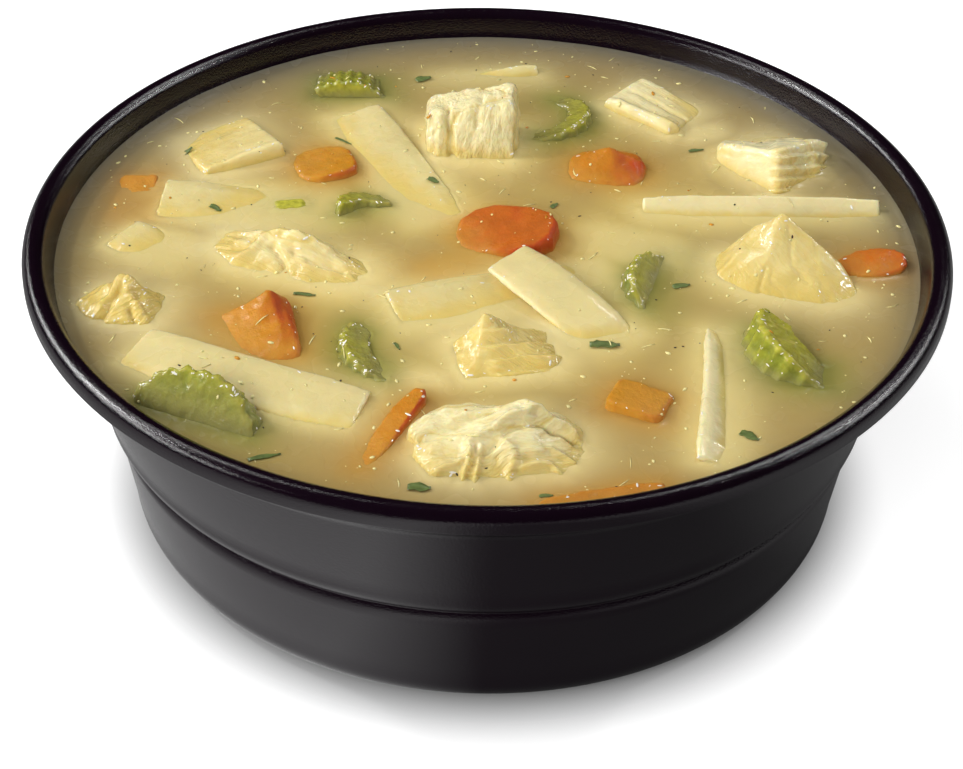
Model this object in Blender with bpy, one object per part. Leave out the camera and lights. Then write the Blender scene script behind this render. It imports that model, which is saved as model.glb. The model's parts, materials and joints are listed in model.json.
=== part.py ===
"""Bowl of creamy chicken noodle soup with vegetables, in a round moulded plastic bowl.

The part stands on its flat base: origin at the centre of the base, +Z up, -Y towards the side it is
seen from, +X to the right. Sizes below are in millimetres and are turned into metres by MM.
Heights of food are given from the broth's surface: 0 is level with it, plus is above it.
"""

import math
import random

import bmesh
import bpy
from mathutils import Euler, Matrix, Vector

MM = 0.001

# ---- driving dimensions, mm
RIM_RADIUS = 67.5
BOWL_HEIGHT = 45.5
BROTH_DEPTH_BELOW_RIM = 4.4
WALL = 1.25
BASE_THICKNESS = 1.5
BASE_RADIUS = 54.4
BASE_FILLET = 4.4
STEP_HEIGHT = 19.0
STEP_RADIUS = 56.9
STEP_WIDTH = 0.9
BAND_TOP_RADIUS = 61.9
BAND_TOP_HEIGHT = 38.4
LIP_DROP = 3.2
BOWL_SIDES = 56
GAP = 0.3

LEVEL = BOWL_HEIGHT - BROTH_DEPTH_BELOW_RIM
NOODLE_THICKNESS = 2.0
RIB_DEPTH = 0.35
INNER_STEPS = 5

COLOURS = {
    "bowl": ((0.012, 0.010, 0.013, 1.0), 0.32),
    "broth": ((0.55, 0.42, 0.16, 1.0), 0.25),
    "noodle": ((0.78, 0.66, 0.32, 1.0), 0.35),
    "chicken": ((0.80, 0.68, 0.36, 1.0), 0.45),
    "carrot": ((0.75, 0.22, 0.02, 1.0), 0.30),
    "celery": ((0.26, 0.36, 0.05, 1.0), 0.30),
}


def clear_scene():
    for obj in list(bpy.data.objects):
        bpy.data.objects.remove(obj, do_unlink=True)


def material(name, kind):
    """One Principled material, in the colour and roughness of its kind of piece."""
    colour, roughness = COLOURS[kind]
    mat = bpy.data.materials.new(name)
    mat.use_nodes = True
    shader = mat.node_tree.nodes["Principled BSDF"]
    shader.inputs["Base Color"].default_value = colour
    shader.inputs["Roughness"].default_value = roughness
    return mat


def add_object(name, bm, kind):
    """Links a bmesh, whose coordinates are in metres, as an object with its own material."""
    bmesh.ops.recalc_face_normals(bm, faces=bm.faces)
    mesh = bpy.data.meshes.new(name)
    bm.to_mesh(mesh)
    bm.free()
    mesh.shade_smooth()
    mesh.set_sharp_from_angle(angle=math.radians(40))
    mesh.materials.append(material(name, kind))
    obj = bpy.data.objects.new(name, mesh)
    bpy.context.collection.objects.link(obj)
    return obj


def loft(rings, closed_ends=True):
    """A skin through rings of equal length, given in mm, capped at its two ends."""
    bm = bmesh.new()
    loops = [[bm.verts.new(Vector(p) * MM) for p in ring] for ring in rings]
    count = len(rings[0])
    for low, high in zip(loops, loops[1:]):
        for i in range(count):
            j = (i + 1) % count
            bm.faces.new((low[i], low[j], high[j], high[i]))
    if closed_ends:
        bm.faces.new(loops[0])
        bm.faces.new(loops[-1])
    return bm


def lathe(profile, sides):
    """A body turned round Z from a profile of (radius, height) that starts and ends on the axis."""
    bm = bmesh.new()
    start, end = profile[0], profile[-1]
    rings = []
    for radius, height in profile[1:-1]:
        ring = []
        for i in range(sides):
            a = 2 * math.pi * i / sides
            ring.append(bm.verts.new(Vector((radius * math.cos(a), radius * math.sin(a), height)) * MM))
        rings.append(ring)
    first = bm.verts.new(Vector((0, 0, start[1])) * MM)
    last = bm.verts.new(Vector((0, 0, end[1])) * MM)
    for i in range(sides):
        j = (i + 1) % sides
        bm.faces.new((first, rings[0][i], rings[0][j]))
        bm.faces.new((last, rings[-1][j], rings[-1][i]))
        for low, high in zip(rings, rings[1:]):
            bm.faces.new((low[i], high[i], high[j], low[j]))
    return bm


# ---- the bowl

def arc(centre, radius, start, end, steps):
    """Points of a round stretch of the profile, angles in degrees from the outward direction."""
    points = []
    for k in range(steps + 1):
        a = math.radians(start + (end - start) * k / steps)
        points.append((centre[0] + radius * math.cos(a), centre[1] + radius * math.sin(a)))
    return points


def outer_profile():
    """From the middle of the base up the outside to the crest of the rim."""
    lip = BOWL_HEIGHT - LIP_DROP
    fillet = (BASE_RADIUS - BASE_FILLET, BASE_FILLET)
    return (
        [(0, 0)]
        + arc(fillet, BASE_FILLET, -90, 0, 3)
        + [(STEP_RADIUS, STEP_HEIGHT), (STEP_RADIUS + STEP_WIDTH, STEP_HEIGHT + 0.8)]
        + [(BAND_TOP_RADIUS, BAND_TOP_HEIGHT), (RIM_RADIUS - 2.6, lip - 0.4)]
        + [(RIM_RADIUS - 1.1, lip), (RIM_RADIUS - 0.1, lip + 0.3), (RIM_RADIUS, BOWL_HEIGHT - 1.1)]
        + [(RIM_RADIUS - 0.3, BOWL_HEIGHT - 0.35), (RIM_RADIUS - 1.0, BOWL_HEIGHT)]
    )


def inner_profile(inset):
    """From the crest of the rim down the inside to the middle of the floor, set in by inset."""
    return [
        (RIM_RADIUS - 3.2 - inset, BOWL_HEIGHT - 1.6),
        (RIM_RADIUS - 4.5 - inset, LEVEL),
        (BAND_TOP_RADIUS - WALL - inset, BAND_TOP_HEIGHT + 0.4),
        (STEP_RADIUS + STEP_WIDTH - WALL - inset, STEP_HEIGHT + 1.2),
        (STEP_RADIUS - WALL - inset, STEP_HEIGHT),
        (BASE_RADIUS - WALL - inset, BASE_FILLET + inset),
        (BASE_RADIUS - BASE_FILLET - inset, BASE_THICKNESS + inset),
        (0, BASE_THICKNESS + inset),
    ]


def build_bowl():
    return add_object("bowl", lathe(outer_profile() + inner_profile(0), BOWL_SIDES), "bowl")


# ---- the food. Each shape has a margin: 0 for the piece itself, and more for the plainer, slightly
# ---- larger body that cuts the piece's place out of the broth.

def place(obj, at, turn, tilt=(0, 0)):
    """Sets a piece at (x, y) on the broth, at a height from its surface, turned and tilted in degrees."""
    obj.location = Vector((at[0], at[1], LEVEL + at[2])) * MM
    obj.rotation_euler = Euler((math.radians(tilt[0]), math.radians(tilt[1]), math.radians(turn)))
    return obj


def rounded_outline(squareness, points):
    """A superellipse round the square from -1 to 1: 2 is a circle, more is squarer, less is a diamond."""
    outline = []
    for i in range(points):
        a = 2 * math.pi * (i + 0.5) / points
        c, s = math.cos(a), math.sin(a)
        outline.append((
            math.copysign(abs(c) ** (2 / squareness), c),
            math.copysign(abs(s) ** (2 / squareness), s),
        ))
    return outline


def ramp(value, peak):
    """1 at the peak, falling in a straight line to 0 at both ends, -1 and 1."""
    if value < peak:
        return (1 + value) / (1 + peak)
    return (1 - value) / (1 - peak)


def chunk(name, kind, margin, at, turn, size, rise, sink, peak=(0, 0, 0), lean=(0, 0),
          top=(0.9, 0.9), squareness=8, points=12, rough=0.3, seed=1):
    """A cut piece: a rounded block whose four top corners have their own heights.

    rise: heights of the top's back left, back right, front left and front right corner.
    sink: how deep the piece reaches under the broth.
    peak: (u, v, height) of an apex on the top, u and v from -1 to 1 across it.
    lean: how far the top is shifted from the foot, along the bowl's X and Y.
    top: the top's length and width as shares of the foot's.
    """
    dice = random.Random(seed)
    outline = [(u, v, dice.uniform(-rough, rough)) for u, v in rounded_outline(squareness, points)]
    shift = Vector(lean).to_3d()
    shift.rotate(Matrix.Rotation(math.radians(-turn), 3, "Z"))

    def top_height(u, v):
        back = rise[0] * (1 - u) / 2 + rise[1] * (1 + u) / 2
        front = rise[2] * (1 - u) / 2 + rise[3] * (1 + u) / 2
        hump = peak[2] * max(0.0, ramp(u, peak[0])) * max(0.0, ramp(v, peak[1]))
        return front * (1 - v) / 2 + back * (1 + v) / 2 + hump + margin

    def point(u, v, up, uneven=0.0):
        """A point of the body; up is 0 at the foot and 1 at the top."""
        foot = -sink - margin
        x = u * (size[0] / 2 * (1 + (top[0] - 1) * up) + margin + uneven) + shift.x * up
        y = v * (size[1] / 2 * (1 + (top[1] - 1) * up) + margin + uneven) + shift.y * up
        return (x, y, foot + (top_height(u, v) - foot) * up)

    def ring(share, up):
        """share: 1 round the outline, less where the ring is drawn in towards the peak."""
        ahead = ((peak[0] * (1 - share), peak[1] * (1 - share)) if up == 1 else (0, 0))
        return [point(u * share + ahead[0], v * share + ahead[1], up, uneven * share)
                for u, v, uneven in outline]

    if margin:
        rings = [ring(1.0, 0.0), ring(1.0, 1.0)]
    else:
        rings = [ring(0.85, 0.0), ring(1.0, 0.15), ring(1.0, 0.92), ring(0.93, 1.0), ring(0.45, 1.0)]
    bm = loft(rings, closed_ends=False)
    bm.verts.ensure_lookup_table()
    count = len(outline)
    bm.faces.new(bm.verts[:count])
    tip = bm.verts.new(Vector(point(peak[0], peak[1], 1.0)) * MM)
    bm.verts.ensure_lookup_table()
    last = bm.verts[(len(rings) - 1) * count:len(rings) * count]
    for i in range(count):
        bm.faces.new((last[i], last[(i + 1) % count], tip))
    return place(add_object(name, bm, kind), (at[0], at[1], 0), turn)


def noodle(name, margin, start, end, width, roll, bend=0.0, arch=0.0, stations=5):
    """A flat noodle from start to end, both (x, y, z) of its middle line with z from the broth.

    roll: the ribbon's sideways slope at its start and end in degrees, plus with the left edge high.
    bend: how far its middle lies to the left of the straight line. arch: how far it lies above it.
    """
    first, last = Vector(start), Vector(end)
    along = last - first
    side = Vector((-along.y, along.x, 0)).normalized()
    section = rounded_outline(12, 4) if margin else rounded_outline(3.2, 8)
    rings = []
    for k in range(stations + 1):
        t = k / stations
        bow = 4 * t * (1 - t)
        centre = along * t + side * bend * bow + Vector((0, 0, arch * bow))
        slope = side * bend * 4 * (1 - 2 * t) + Vector((0, 0, arch * 4 * (1 - 2 * t)))
        forward = (along + slope).normalized()
        level_side = Vector((-forward.y, forward.x, 0)).normalized()
        lean = math.radians(roll[0] * (1 - t) + roll[1] * t)
        across = level_side * math.cos(lean) + forward.cross(level_side) * math.sin(lean)
        normal = forward.cross(across)
        drawn_in = 0.0 if margin else 0.45 * NOODLE_THICKNESS * (k in (0, stations))
        centre += forward * margin * ((k == stations) - (k == 0))
        half = (width - drawn_in) / 2 + margin, (NOODLE_THICKNESS - drawn_in) / 2 + margin
        rings.append([centre + across * half[0] * u + normal * half[1] * v for u, v in section])
    obj = add_object(name, loft(rings), "noodle")
    obj.location = (first + Vector((0, 0, LEVEL))) * MM
    return obj


def crescent(name, margin, at, turn, radius, sweep, length, tilt, wall=4.0, ribs=9, spin=0):
    """A slice of a celery stalk: a C-shaped wall with a ribbed outer side, extruded along Z.

    The back of the C points along local +X, turned by spin; the slice is centred on its arc's centre.
    """
    half = math.radians(sweep / 2) + margin / (radius - wall / 2)
    steps = ribs if margin else 2 * ribs
    outer = []
    for k in range(steps + 1):
        a = -half + 2 * half * k / steps
        rib = RIB_DEPTH if margin or k % 2 else 0.0
        outer.append((radius + rib + 1.3 * margin, a))
    inner = []
    for k in range(INNER_STEPS + 1):
        a = half - 2 * half * k / INNER_STEPS
        inner.append((radius - wall * (0.55 + 0.45 * math.cos(a * 0.8)) - margin, a * 0.93))

    def ring(height, bevel):
        points = [(reach - bevel, a) for reach, a in outer] + [(reach + bevel, a) for reach, a in inner]
        turned = math.radians(spin)
        return [(reach * math.cos(a + turned), reach * math.sin(a + turned), height) for reach, a in points]

    end = length / 2 + margin
    rings = [ring(-end, 0), ring(end, 0)] if margin else [ring(-end, 0), ring(end - 0.5, 0), ring(end, 0.35)]
    return place(add_object(name, loft(rings), "celery"), at, turn, tilt)


CHICKEN = [
    dict(at=(-40.9, 26.3), turn=30, size=(15, 14.5), rise=(-0.6, 1.0, 1.2, 2.7), sink=6),
    dict(at=(-2.8, 28.0), turn=0, size=(14.8, 13.5), rise=(5.8, 8.4, 5.2, 7.8), sink=5,
         lean=(0, 3.2), top=(0.93, 0.45)),
    dict(at=(26.6, 40.6), turn=-40, size=(15.4, 12), rise=(1.9, -0.4, 1.8, 1.7), sink=6),
    dict(at=(44.2, 22.4), turn=-46, size=(14, 14), rise=(-2.6, 3.4, 2.4, 6.2), sink=5,
         lean=(0, 4.2), top=(0.92, 0.92)),
    dict(at=(43.9, -10.6), turn=-25, size=(25.6, 14.3), rise=(0.2, 0.0, -0.6, -0.8), sink=5,
         peak=(-0.25, 0.8, 7.9), lean=(-0.8, 3.0), squareness=1.7),
    dict(at=(2.4, -27.0), turn=15, size=(15.5, 11.5), rise=(-0.8, -0.5, 0.2, 0.3), sink=4.5,
         peak=(-0.3, 0.55, 5.4)),
    dict(at=(2.2, -48.2), turn=4, size=(25.6, 15), rise=(2.4, 0.2, 0.4, -0.6), sink=5,
         peak=(0.28, 0.5, 4.8), squareness=3, rough=0.4),
    dict(at=(-50.6, -17.3), turn=-18, size=(13.0, 10.6), rise=(-0.2, 0.0, 0.4, 0.6), sink=3,
         peak=(0.05, 0.5, 3.9), lean=(-1.2, 0), squareness=2.8, rough=0.4),
    dict(at=(-28.4, -5.0), turn=-23, size=(28, 11.5), rise=(0.2, -0.6, -0.4, -0.4), sink=5,
         peak=(-0.05, 0.5, 4.0), squareness=3, rough=0.4),
]

NOODLES = [
    dict(start=(8.3, 50.6, -1.0), end=(-8.5, 47.8, -3.4), width=7.5, roll=(-40, -34)),
    dict(start=(-21.7, 37.4, 0.2), end=(-7.4, 6.5, -0.9), width=10, roll=(10, 8)),
    dict(start=(-49.6, 10.6, 0.2), end=(-23.9, 8.6, -2.1), width=11, roll=(7, 3)),
    dict(start=(-54.2, 1.2, 0.1), end=(-43.8, -5.3, -2.2), width=8.8, roll=(4, 2)),
    dict(start=(-48.4, -27.6, 0.3), end=(-16.4, -41.2, 0.1), width=9.6, roll=(9, 7), bend=-1.0, arch=0.3),
    dict(start=(-13.2, -17.5, -0.2), end=(17.5, -8.4, -1.2), width=11.0, roll=(6, 6), bend=0.5),
    dict(start=(2.7, -6.8, 2.3), end=(18.9, -24.5, -1.6), width=9.0, roll=(5, 10), arch=1.0),
    dict(start=(23.2, 9.0, -1.0), end=(59.2, 9.2, -1.0), width=8.5, roll=(38, 42)),
    dict(start=(33.0, -21.0, -1.4), end=(30.2, -50.8, -0.5), width=7.0, roll=(-42, -24), bend=0.6,
         stations=8),
]

CARROTS = [
    dict(at=(-53.4, 11.6), turn=2, size=(6.2, 12.6), rise=(0.4, 0.4, -0.8, -0.8), sink=5.5, top=(1, 1)),
    dict(at=(-25.5, 21.6), turn=20, size=(10.8, 11.5), rise=(-0.2, 0.8, 0.9, 1.7), sink=4, squareness=3),
    dict(at=(-32.0, -24.0), turn=13, size=(12.5, 15), rise=(-0.8, 1.4, -1.4, 0.8), sink=4,
         peak=(0.5, 0.85, 3.0)),
    dict(at=(2.6, 2.2), turn=-14, size=(17, 12.5), rise=(1.6, 3.4, -0.6, 2.6), sink=4, squareness=2.6),
    dict(at=(18.2, 21.2), turn=-10, size=(13.5, 9.6), rise=(0.8, 1.4, 0.2, 0.4), sink=4,
         peak=(0.0, 0.5, 2.3), squareness=3),
    dict(at=(55.6, -4.2), turn=5, size=(9.4, 6.2), rise=(0.8, 2.2, 0.2, 1.0), sink=2.2, top=(1.12, 0.95),
         lean=(0.5, 0), squareness=2.6),
    dict(at=(-12.5, -45.4), turn=63, size=(19.6, 3.8), rise=(-0.6, 1.8, -0.2, 2.6), sink=4, squareness=3),
    dict(at=(20.8, -38.2), turn=-22, size=(9, 7.6), rise=(1.4, 0.8, 2.0, 1.2), sink=3),
    dict(at=(15.2, -57.8), turn=14.5, size=(18.5, 3.0), rise=(0.4, 0.5, 0.2, 0.3), sink=1.0,
         squareness=4),
]

CELERY = [
    dict(at=(-23.4, 44.2, -6.3), turn=90, radius=8.4, sweep=100, length=6, tilt=(0, -78), spin=-14),
    dict(at=(9.6, 36.8, -3.0), turn=-20, radius=7.2, sweep=204, length=6, tilt=(0, -17), wall=3.4, ribs=10),
    dict(at=(-18.8, 8.3, -1.0), turn=112, radius=4.1, sweep=190, length=5, tilt=(12, 8), wall=3.4, ribs=6),
    dict(at=(27.1, -10.1, -3.4), turn=165, radius=8.4, sweep=160, length=6, tilt=(0, -25), wall=5.5),
    dict(at=(45.2, -24.8, -2.5), turn=-138, radius=9.6, sweep=130, length=6.4, tilt=(-12, -23), wall=6),
    dict(at=(-40.3, -46.8, -3.2), turn=66, radius=11.3, sweep=106, length=4.6, tilt=(0, -40), wall=7.5),
    dict(at=(-12.4, -26.3, -4.0), turn=200, radius=8.8, sweep=110, length=6, tilt=(0, -20)),
]


def build_food(margin=0.0, suffix=""):
    """Every piece of food; with a margin, the bodies of the spaces they take in the broth."""
    pieces = []
    for number, sizes in enumerate(CHICKEN, 1):
        pieces.append(chunk(f"chicken_{number}{suffix}", "chicken", margin, seed=number, **sizes))
    for number, sizes in enumerate(NOODLES, 1):
        pieces.append(noodle(f"noodle_{number}{suffix}", margin, **sizes))
    for number, sizes in enumerate(CARROTS, 1):
        name = f"carrot_{number}{suffix}"
        pieces.append(chunk(name, "carrot", margin, seed=20 + number, rough=0.12, **sizes))
    for number, sizes in enumerate(CELERY, 1):
        pieces.append(crescent(f"celery_{number}{suffix}", margin, **sizes))
    return pieces


def build_broth():
    """The soup: filled to its level inside the bowl, cut round every piece that breaks its surface."""
    below_rim = inner_profile(GAP)[1:]
    broth = add_object("broth", lathe([(0, LEVEL)] + below_rim, BOWL_SIDES), "broth")
    for space in build_food(margin=1.3 * GAP, suffix="_space"):
        space.hide_render = True
        space.display_type = "WIRE"
        cut = broth.modifiers.new(space.name, "BOOLEAN")
        cut.operation = "DIFFERENCE"
        cut.solver = "EXACT"
        cut.object = space
    return broth


def main():
    clear_scene()
    build_bowl()
    build_food()
    build_broth()


if __name__ == "__main__":
    main()
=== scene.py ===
"""Creamy chicken noodle soup in a black plastic bowl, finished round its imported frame.

Lengths inside the shapes are in millimetres and become metres in new_piece. Heights called "above the
soup" are counted from the soup's level.
"""

import json
import math
import random

import bmesh
import bpy
import numpy as np
from bpy.props import FloatProperty, FloatVectorProperty, PointerProperty
from mathutils import Matrix, Vector
from mathutils.bvhtree import BVHTree
from mathutils.kdtree import KDTree

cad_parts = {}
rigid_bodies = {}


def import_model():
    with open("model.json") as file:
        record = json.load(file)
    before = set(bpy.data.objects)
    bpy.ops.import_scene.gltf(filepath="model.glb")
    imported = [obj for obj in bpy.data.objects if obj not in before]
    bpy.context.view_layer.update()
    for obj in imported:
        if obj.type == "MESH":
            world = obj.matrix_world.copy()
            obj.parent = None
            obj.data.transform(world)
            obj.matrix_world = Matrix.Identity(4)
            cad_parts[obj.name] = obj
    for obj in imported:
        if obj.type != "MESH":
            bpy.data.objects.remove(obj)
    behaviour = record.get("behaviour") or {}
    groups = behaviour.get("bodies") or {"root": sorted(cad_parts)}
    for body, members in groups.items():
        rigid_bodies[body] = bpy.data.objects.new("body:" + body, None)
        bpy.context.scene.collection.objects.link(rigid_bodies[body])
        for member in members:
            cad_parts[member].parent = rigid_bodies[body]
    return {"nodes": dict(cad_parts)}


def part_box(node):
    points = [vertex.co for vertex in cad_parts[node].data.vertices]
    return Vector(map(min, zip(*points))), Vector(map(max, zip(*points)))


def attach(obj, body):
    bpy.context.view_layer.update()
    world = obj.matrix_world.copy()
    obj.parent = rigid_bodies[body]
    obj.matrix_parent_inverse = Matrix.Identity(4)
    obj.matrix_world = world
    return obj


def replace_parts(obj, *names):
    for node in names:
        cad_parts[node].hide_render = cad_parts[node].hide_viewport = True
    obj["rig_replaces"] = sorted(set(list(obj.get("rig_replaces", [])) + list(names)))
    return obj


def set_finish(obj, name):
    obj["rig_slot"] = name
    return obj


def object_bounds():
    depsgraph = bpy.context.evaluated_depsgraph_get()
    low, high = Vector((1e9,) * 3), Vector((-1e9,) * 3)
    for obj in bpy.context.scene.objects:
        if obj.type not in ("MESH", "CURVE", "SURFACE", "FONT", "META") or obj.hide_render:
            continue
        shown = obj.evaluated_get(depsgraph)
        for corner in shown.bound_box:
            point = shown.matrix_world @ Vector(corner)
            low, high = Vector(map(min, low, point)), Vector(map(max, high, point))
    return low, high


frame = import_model()
CAD_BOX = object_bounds()

bl_info = {
    "name": "Bowl of Creamy Chicken Noodle Soup",
    "version": (1, 0, 0),
    "blender": (4, 5, 0),
    "location": "View3D > Sidebar > Soup",
    "description": "Builds a bowl of creamy soup with chicken, noodles, carrot and celery on its frame",
    "category": "Add Mesh",
}

MM = 0.001
RIM_RADIUS = (CAD_BOX[1][0] - CAD_BOX[0][0]) / 2 / MM
RIM_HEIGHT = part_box("bowl")[1].z / MM
SOUP_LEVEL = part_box("broth")[1].z / MM
INSIDE_RADIUS = RIM_RADIUS - 4.5  # of the wall, at the soup's level
SOUP_RADIUS = RIM_RADIUS - 3.95  # of the soup's surface, whose edge is buried in the wall

FOOD = ("chicken", "noodle", "carrot", "celery")


def nodes_of(kind):
    """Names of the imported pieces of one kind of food."""
    return [name for name in sorted(frame["nodes"]) if name.startswith(kind)]


# ---- sizes and colours that a user would change

class SoupBowlLook(bpy.types.PropertyGroup):
    """The moulded bowl's wall and its plastic."""

    wall: FloatProperty(
        name="Wall", description="Thickness of the bowl's wall", default=0.00125, unit="LENGTH")
    bead: FloatProperty(
        name="Bead", description="Radius of the rim's rolled edge", default=0.00165, unit="LENGTH")
    colour: FloatVectorProperty(
        name="Colour", description="Colour of the moulded plastic", subtype="COLOR",
        default=(0.006, 0.0022, 0.0055))
    roughness: FloatProperty(
        name="Roughness", description="How matte the plastic is", subtype="FACTOR",
        min=0, max=1, default=0.125)
    grain: FloatProperty(
        name="Grain", description="Size of the moulded grain", default=0.0003, unit="LENGTH")


class SoupBrothLook(bpy.types.PropertyGroup):
    """The milky soup's colours, and how it meets the food."""

    colour: FloatVectorProperty(
        name="Colour", description="Colour of the soup in the middle", subtype="COLOR",
        default=(0.77, 0.57, 0.15))
    shade: FloatVectorProperty(
        name="Shade", description="Colour of its browner patches", subtype="COLOR",
        default=(0.455, 0.325, 0.115))
    # edge: painted shade and reflection of the dark wall on the soup near it, partly the wall showing through
    # the thin soup there
    edge: FloatVectorProperty(
        name="Edge", description="Colour where the dark wall shows through", subtype="COLOR",
        default=(0.12, 0.125, 0.115))
    clearness: FloatProperty(
        name="Clearness", description="Distance over which the tint of sunk food fades out",
        default=0.0022, unit="LENGTH")
    climb: FloatProperty(
        name="Climb", description="How far the soup climbs up what it touches",
        default=0.0003, unit="LENGTH")


class SoupFoodLook(bpy.types.PropertyGroup):
    """The food's colours and how finely it is meshed."""

    chicken: FloatVectorProperty(
        name="Chicken", description="Colour of the chicken", subtype="COLOR", default=(0.96, 0.85, 0.48))
    # The yellower tone of warmer pieces, and painted shade between fibres, in grooves and hollows and on the
    # side turned from the lamps.
    chicken_yellow_and_shade: FloatVectorProperty(
        name="Chicken shade", description="Colour between the chicken's fibres", subtype="COLOR",
        default=(0.81, 0.63, 0.21))
    noodle: FloatVectorProperty(
        name="Noodle", description="Colour of the noodles", subtype="COLOR", default=(0.79, 0.665, 0.305))
    # Painted highlight on the noodles' rounded edges and upright sides.
    noodle_highlight: FloatVectorProperty(
        name="Noodle edge", description="Colour of the noodles' paler edges", subtype="COLOR",
        default=(0.98, 0.90, 0.58))
    carrot: FloatVectorProperty(
        name="Carrot", description="Colour of the carrot", subtype="COLOR", default=(0.58, 0.255, 0.02))
    # The redder colour of some pieces, and painted shade on the sides turned from the left lamps, which is
    # painted redder.
    carrot_red_and_shade: FloatVectorProperty(
        name="Carrot red", description="Colour of the carrot's redder parts", subtype="COLOR",
        default=(0.50, 0.075, 0.015))
    celery: FloatVectorProperty(
        name="Celery", description="Colour of the celery's flesh", subtype="COLOR",
        default=(0.43, 0.405, 0.045))
    celery_skin: FloatVectorProperty(
        name="Celery skin", description="Colour of the celery's ribbed skin", subtype="COLOR",
        default=(0.155, 0.215, 0.02))
    parsley: FloatVectorProperty(
        name="Parsley", description="Colour of the parsley", subtype="COLOR", default=(0.115, 0.155, 0.045))
    detail: FloatProperty(
        name="Detail", description="Size of the faces that the food is meshed with",
        default=0.00032, unit="LENGTH")


class SoupStageLook(bpy.types.PropertyGroup):
    """The lamps and the floor."""

    lamp: FloatProperty(name="Lamps", description="Brightness of the lamps", default=1.0, min=0)
    floor: FloatProperty(name="Floor", description="How white the floor is", subtype="FACTOR", default=0.9)


class SoupLook(bpy.types.PropertyGroup):
    """Everything that can be set on the bowl of soup."""

    bowl: PointerProperty(type=SoupBowlLook)
    broth: PointerProperty(type=SoupBrothLook)
    food: PointerProperty(type=SoupFoodLook)
    stage: PointerProperty(type=SoupStageLook)


# ---- uneven values over a surface

PRIMES = np.array([73856093, 19349663, 83492791])  # large, so that neighbouring cells come out unlike


def hashed(cell, seed):
    """A number from -1 to 1 for each whole-numbered cell (n, 3)."""
    spread = cell * PRIMES
    bits = spread[:, 0] ^ spread[:, 1] ^ spread[:, 2] ^ (seed * 40503 + 977)
    bits = ((bits ^ (bits >> 13)) * 1274126177) & 0xFFFFFFFF
    return ((bits ^ (bits >> 16)) & 0xFFFF) / 32767.5 - 1


def noise(points, size, seed=0):
    """Smooth noise from -1 to 1 at points (n, 3), with cells of one size or of three."""
    scaled = points / np.asarray(size, float)
    cell = np.floor(scaled).astype(np.int64)
    part = scaled - cell
    part = part * part * (3 - 2 * part)
    total = np.zeros(len(points))
    for corner in range(8):
        offset = np.array([corner & 1, corner >> 1 & 1, corner >> 2])
        total += np.prod(np.where(offset, part, 1 - part), axis=1) * hashed(cell + offset, seed)
    return total


def rough(points, size, seed=0, octaves=3):
    """Noise with finer noise on it, still about -1 to 1."""
    total = np.zeros(len(points))
    for octave in range(octaves):
        total += noise(points, np.asarray(size, float) / 2 ** octave, seed + octave) / 1.7 ** octave
    return total / 1.6


def smooth(low, high, values):
    """0 below low, 1 above high, and a soft step between them."""
    t = np.clip((values - low) / (high - low), 0, 1)
    return t * t * (3 - 2 * t)


def direction(azimuth, elevation):
    """Unit vector at an azimuth from +X towards +Y and an elevation from the level, in degrees."""
    a, e = math.radians(azimuth), math.radians(elevation)
    return np.array([math.cos(e) * math.cos(a), math.cos(e) * math.sin(a), math.sin(e)])


def grain_frame(along):
    """Rows: a unit vector and two more across it."""
    spare = np.array([0.0, 0.0, 1.0]) if abs(along[2]) < 0.9 else np.array([1.0, 0.0, 0.0])
    across = np.cross(spare, along)
    across /= np.linalg.norm(across)
    return np.array([along, across, np.cross(along, across)])


# ---- meshes

def new_piece(name, points, faces, material, node_slot, replaced=()):
    """A smooth-shaded mesh from points in mm that rides with the bowl."""
    mesh = bpy.data.meshes.new(name)
    mesh.from_pydata((np.asarray(points) * MM).tolist(), [], [tuple(face) for face in faces])
    mesh.shade_smooth()
    mesh.materials.append(material)
    piece = bpy.data.objects.new(name, mesh)
    bpy.context.scene.collection.objects.link(piece)
    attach(piece, "root")
    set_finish(piece, node_slot)
    if replaced:
        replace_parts(piece, *replaced)
    return piece


def store(piece, name, values):
    """Keeps one number for each vertex, for the material to read."""
    layer = piece.data.attributes.new(name, "FLOAT", "POINT")
    layer.data.foreach_set("value", np.asarray(values, np.float32))


def vertex_array(mesh, what="co"):
    values = np.empty(len(mesh.vertices) * 3, np.float32)
    mesh.vertices.foreach_get(what, values)
    return values.reshape(-1, 3).astype(float)


def face_lists(mesh):
    return [tuple(face.vertices) for face in mesh.polygons]


FACE_SHARE = {"chicken": 0.75, "noodle": 0.85, "carrot": 1.0, "celery": 0.75}  # of the food's detail
MORE_ROUNDS = 40  # of smoothing; what they would take away counts as proud


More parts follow.
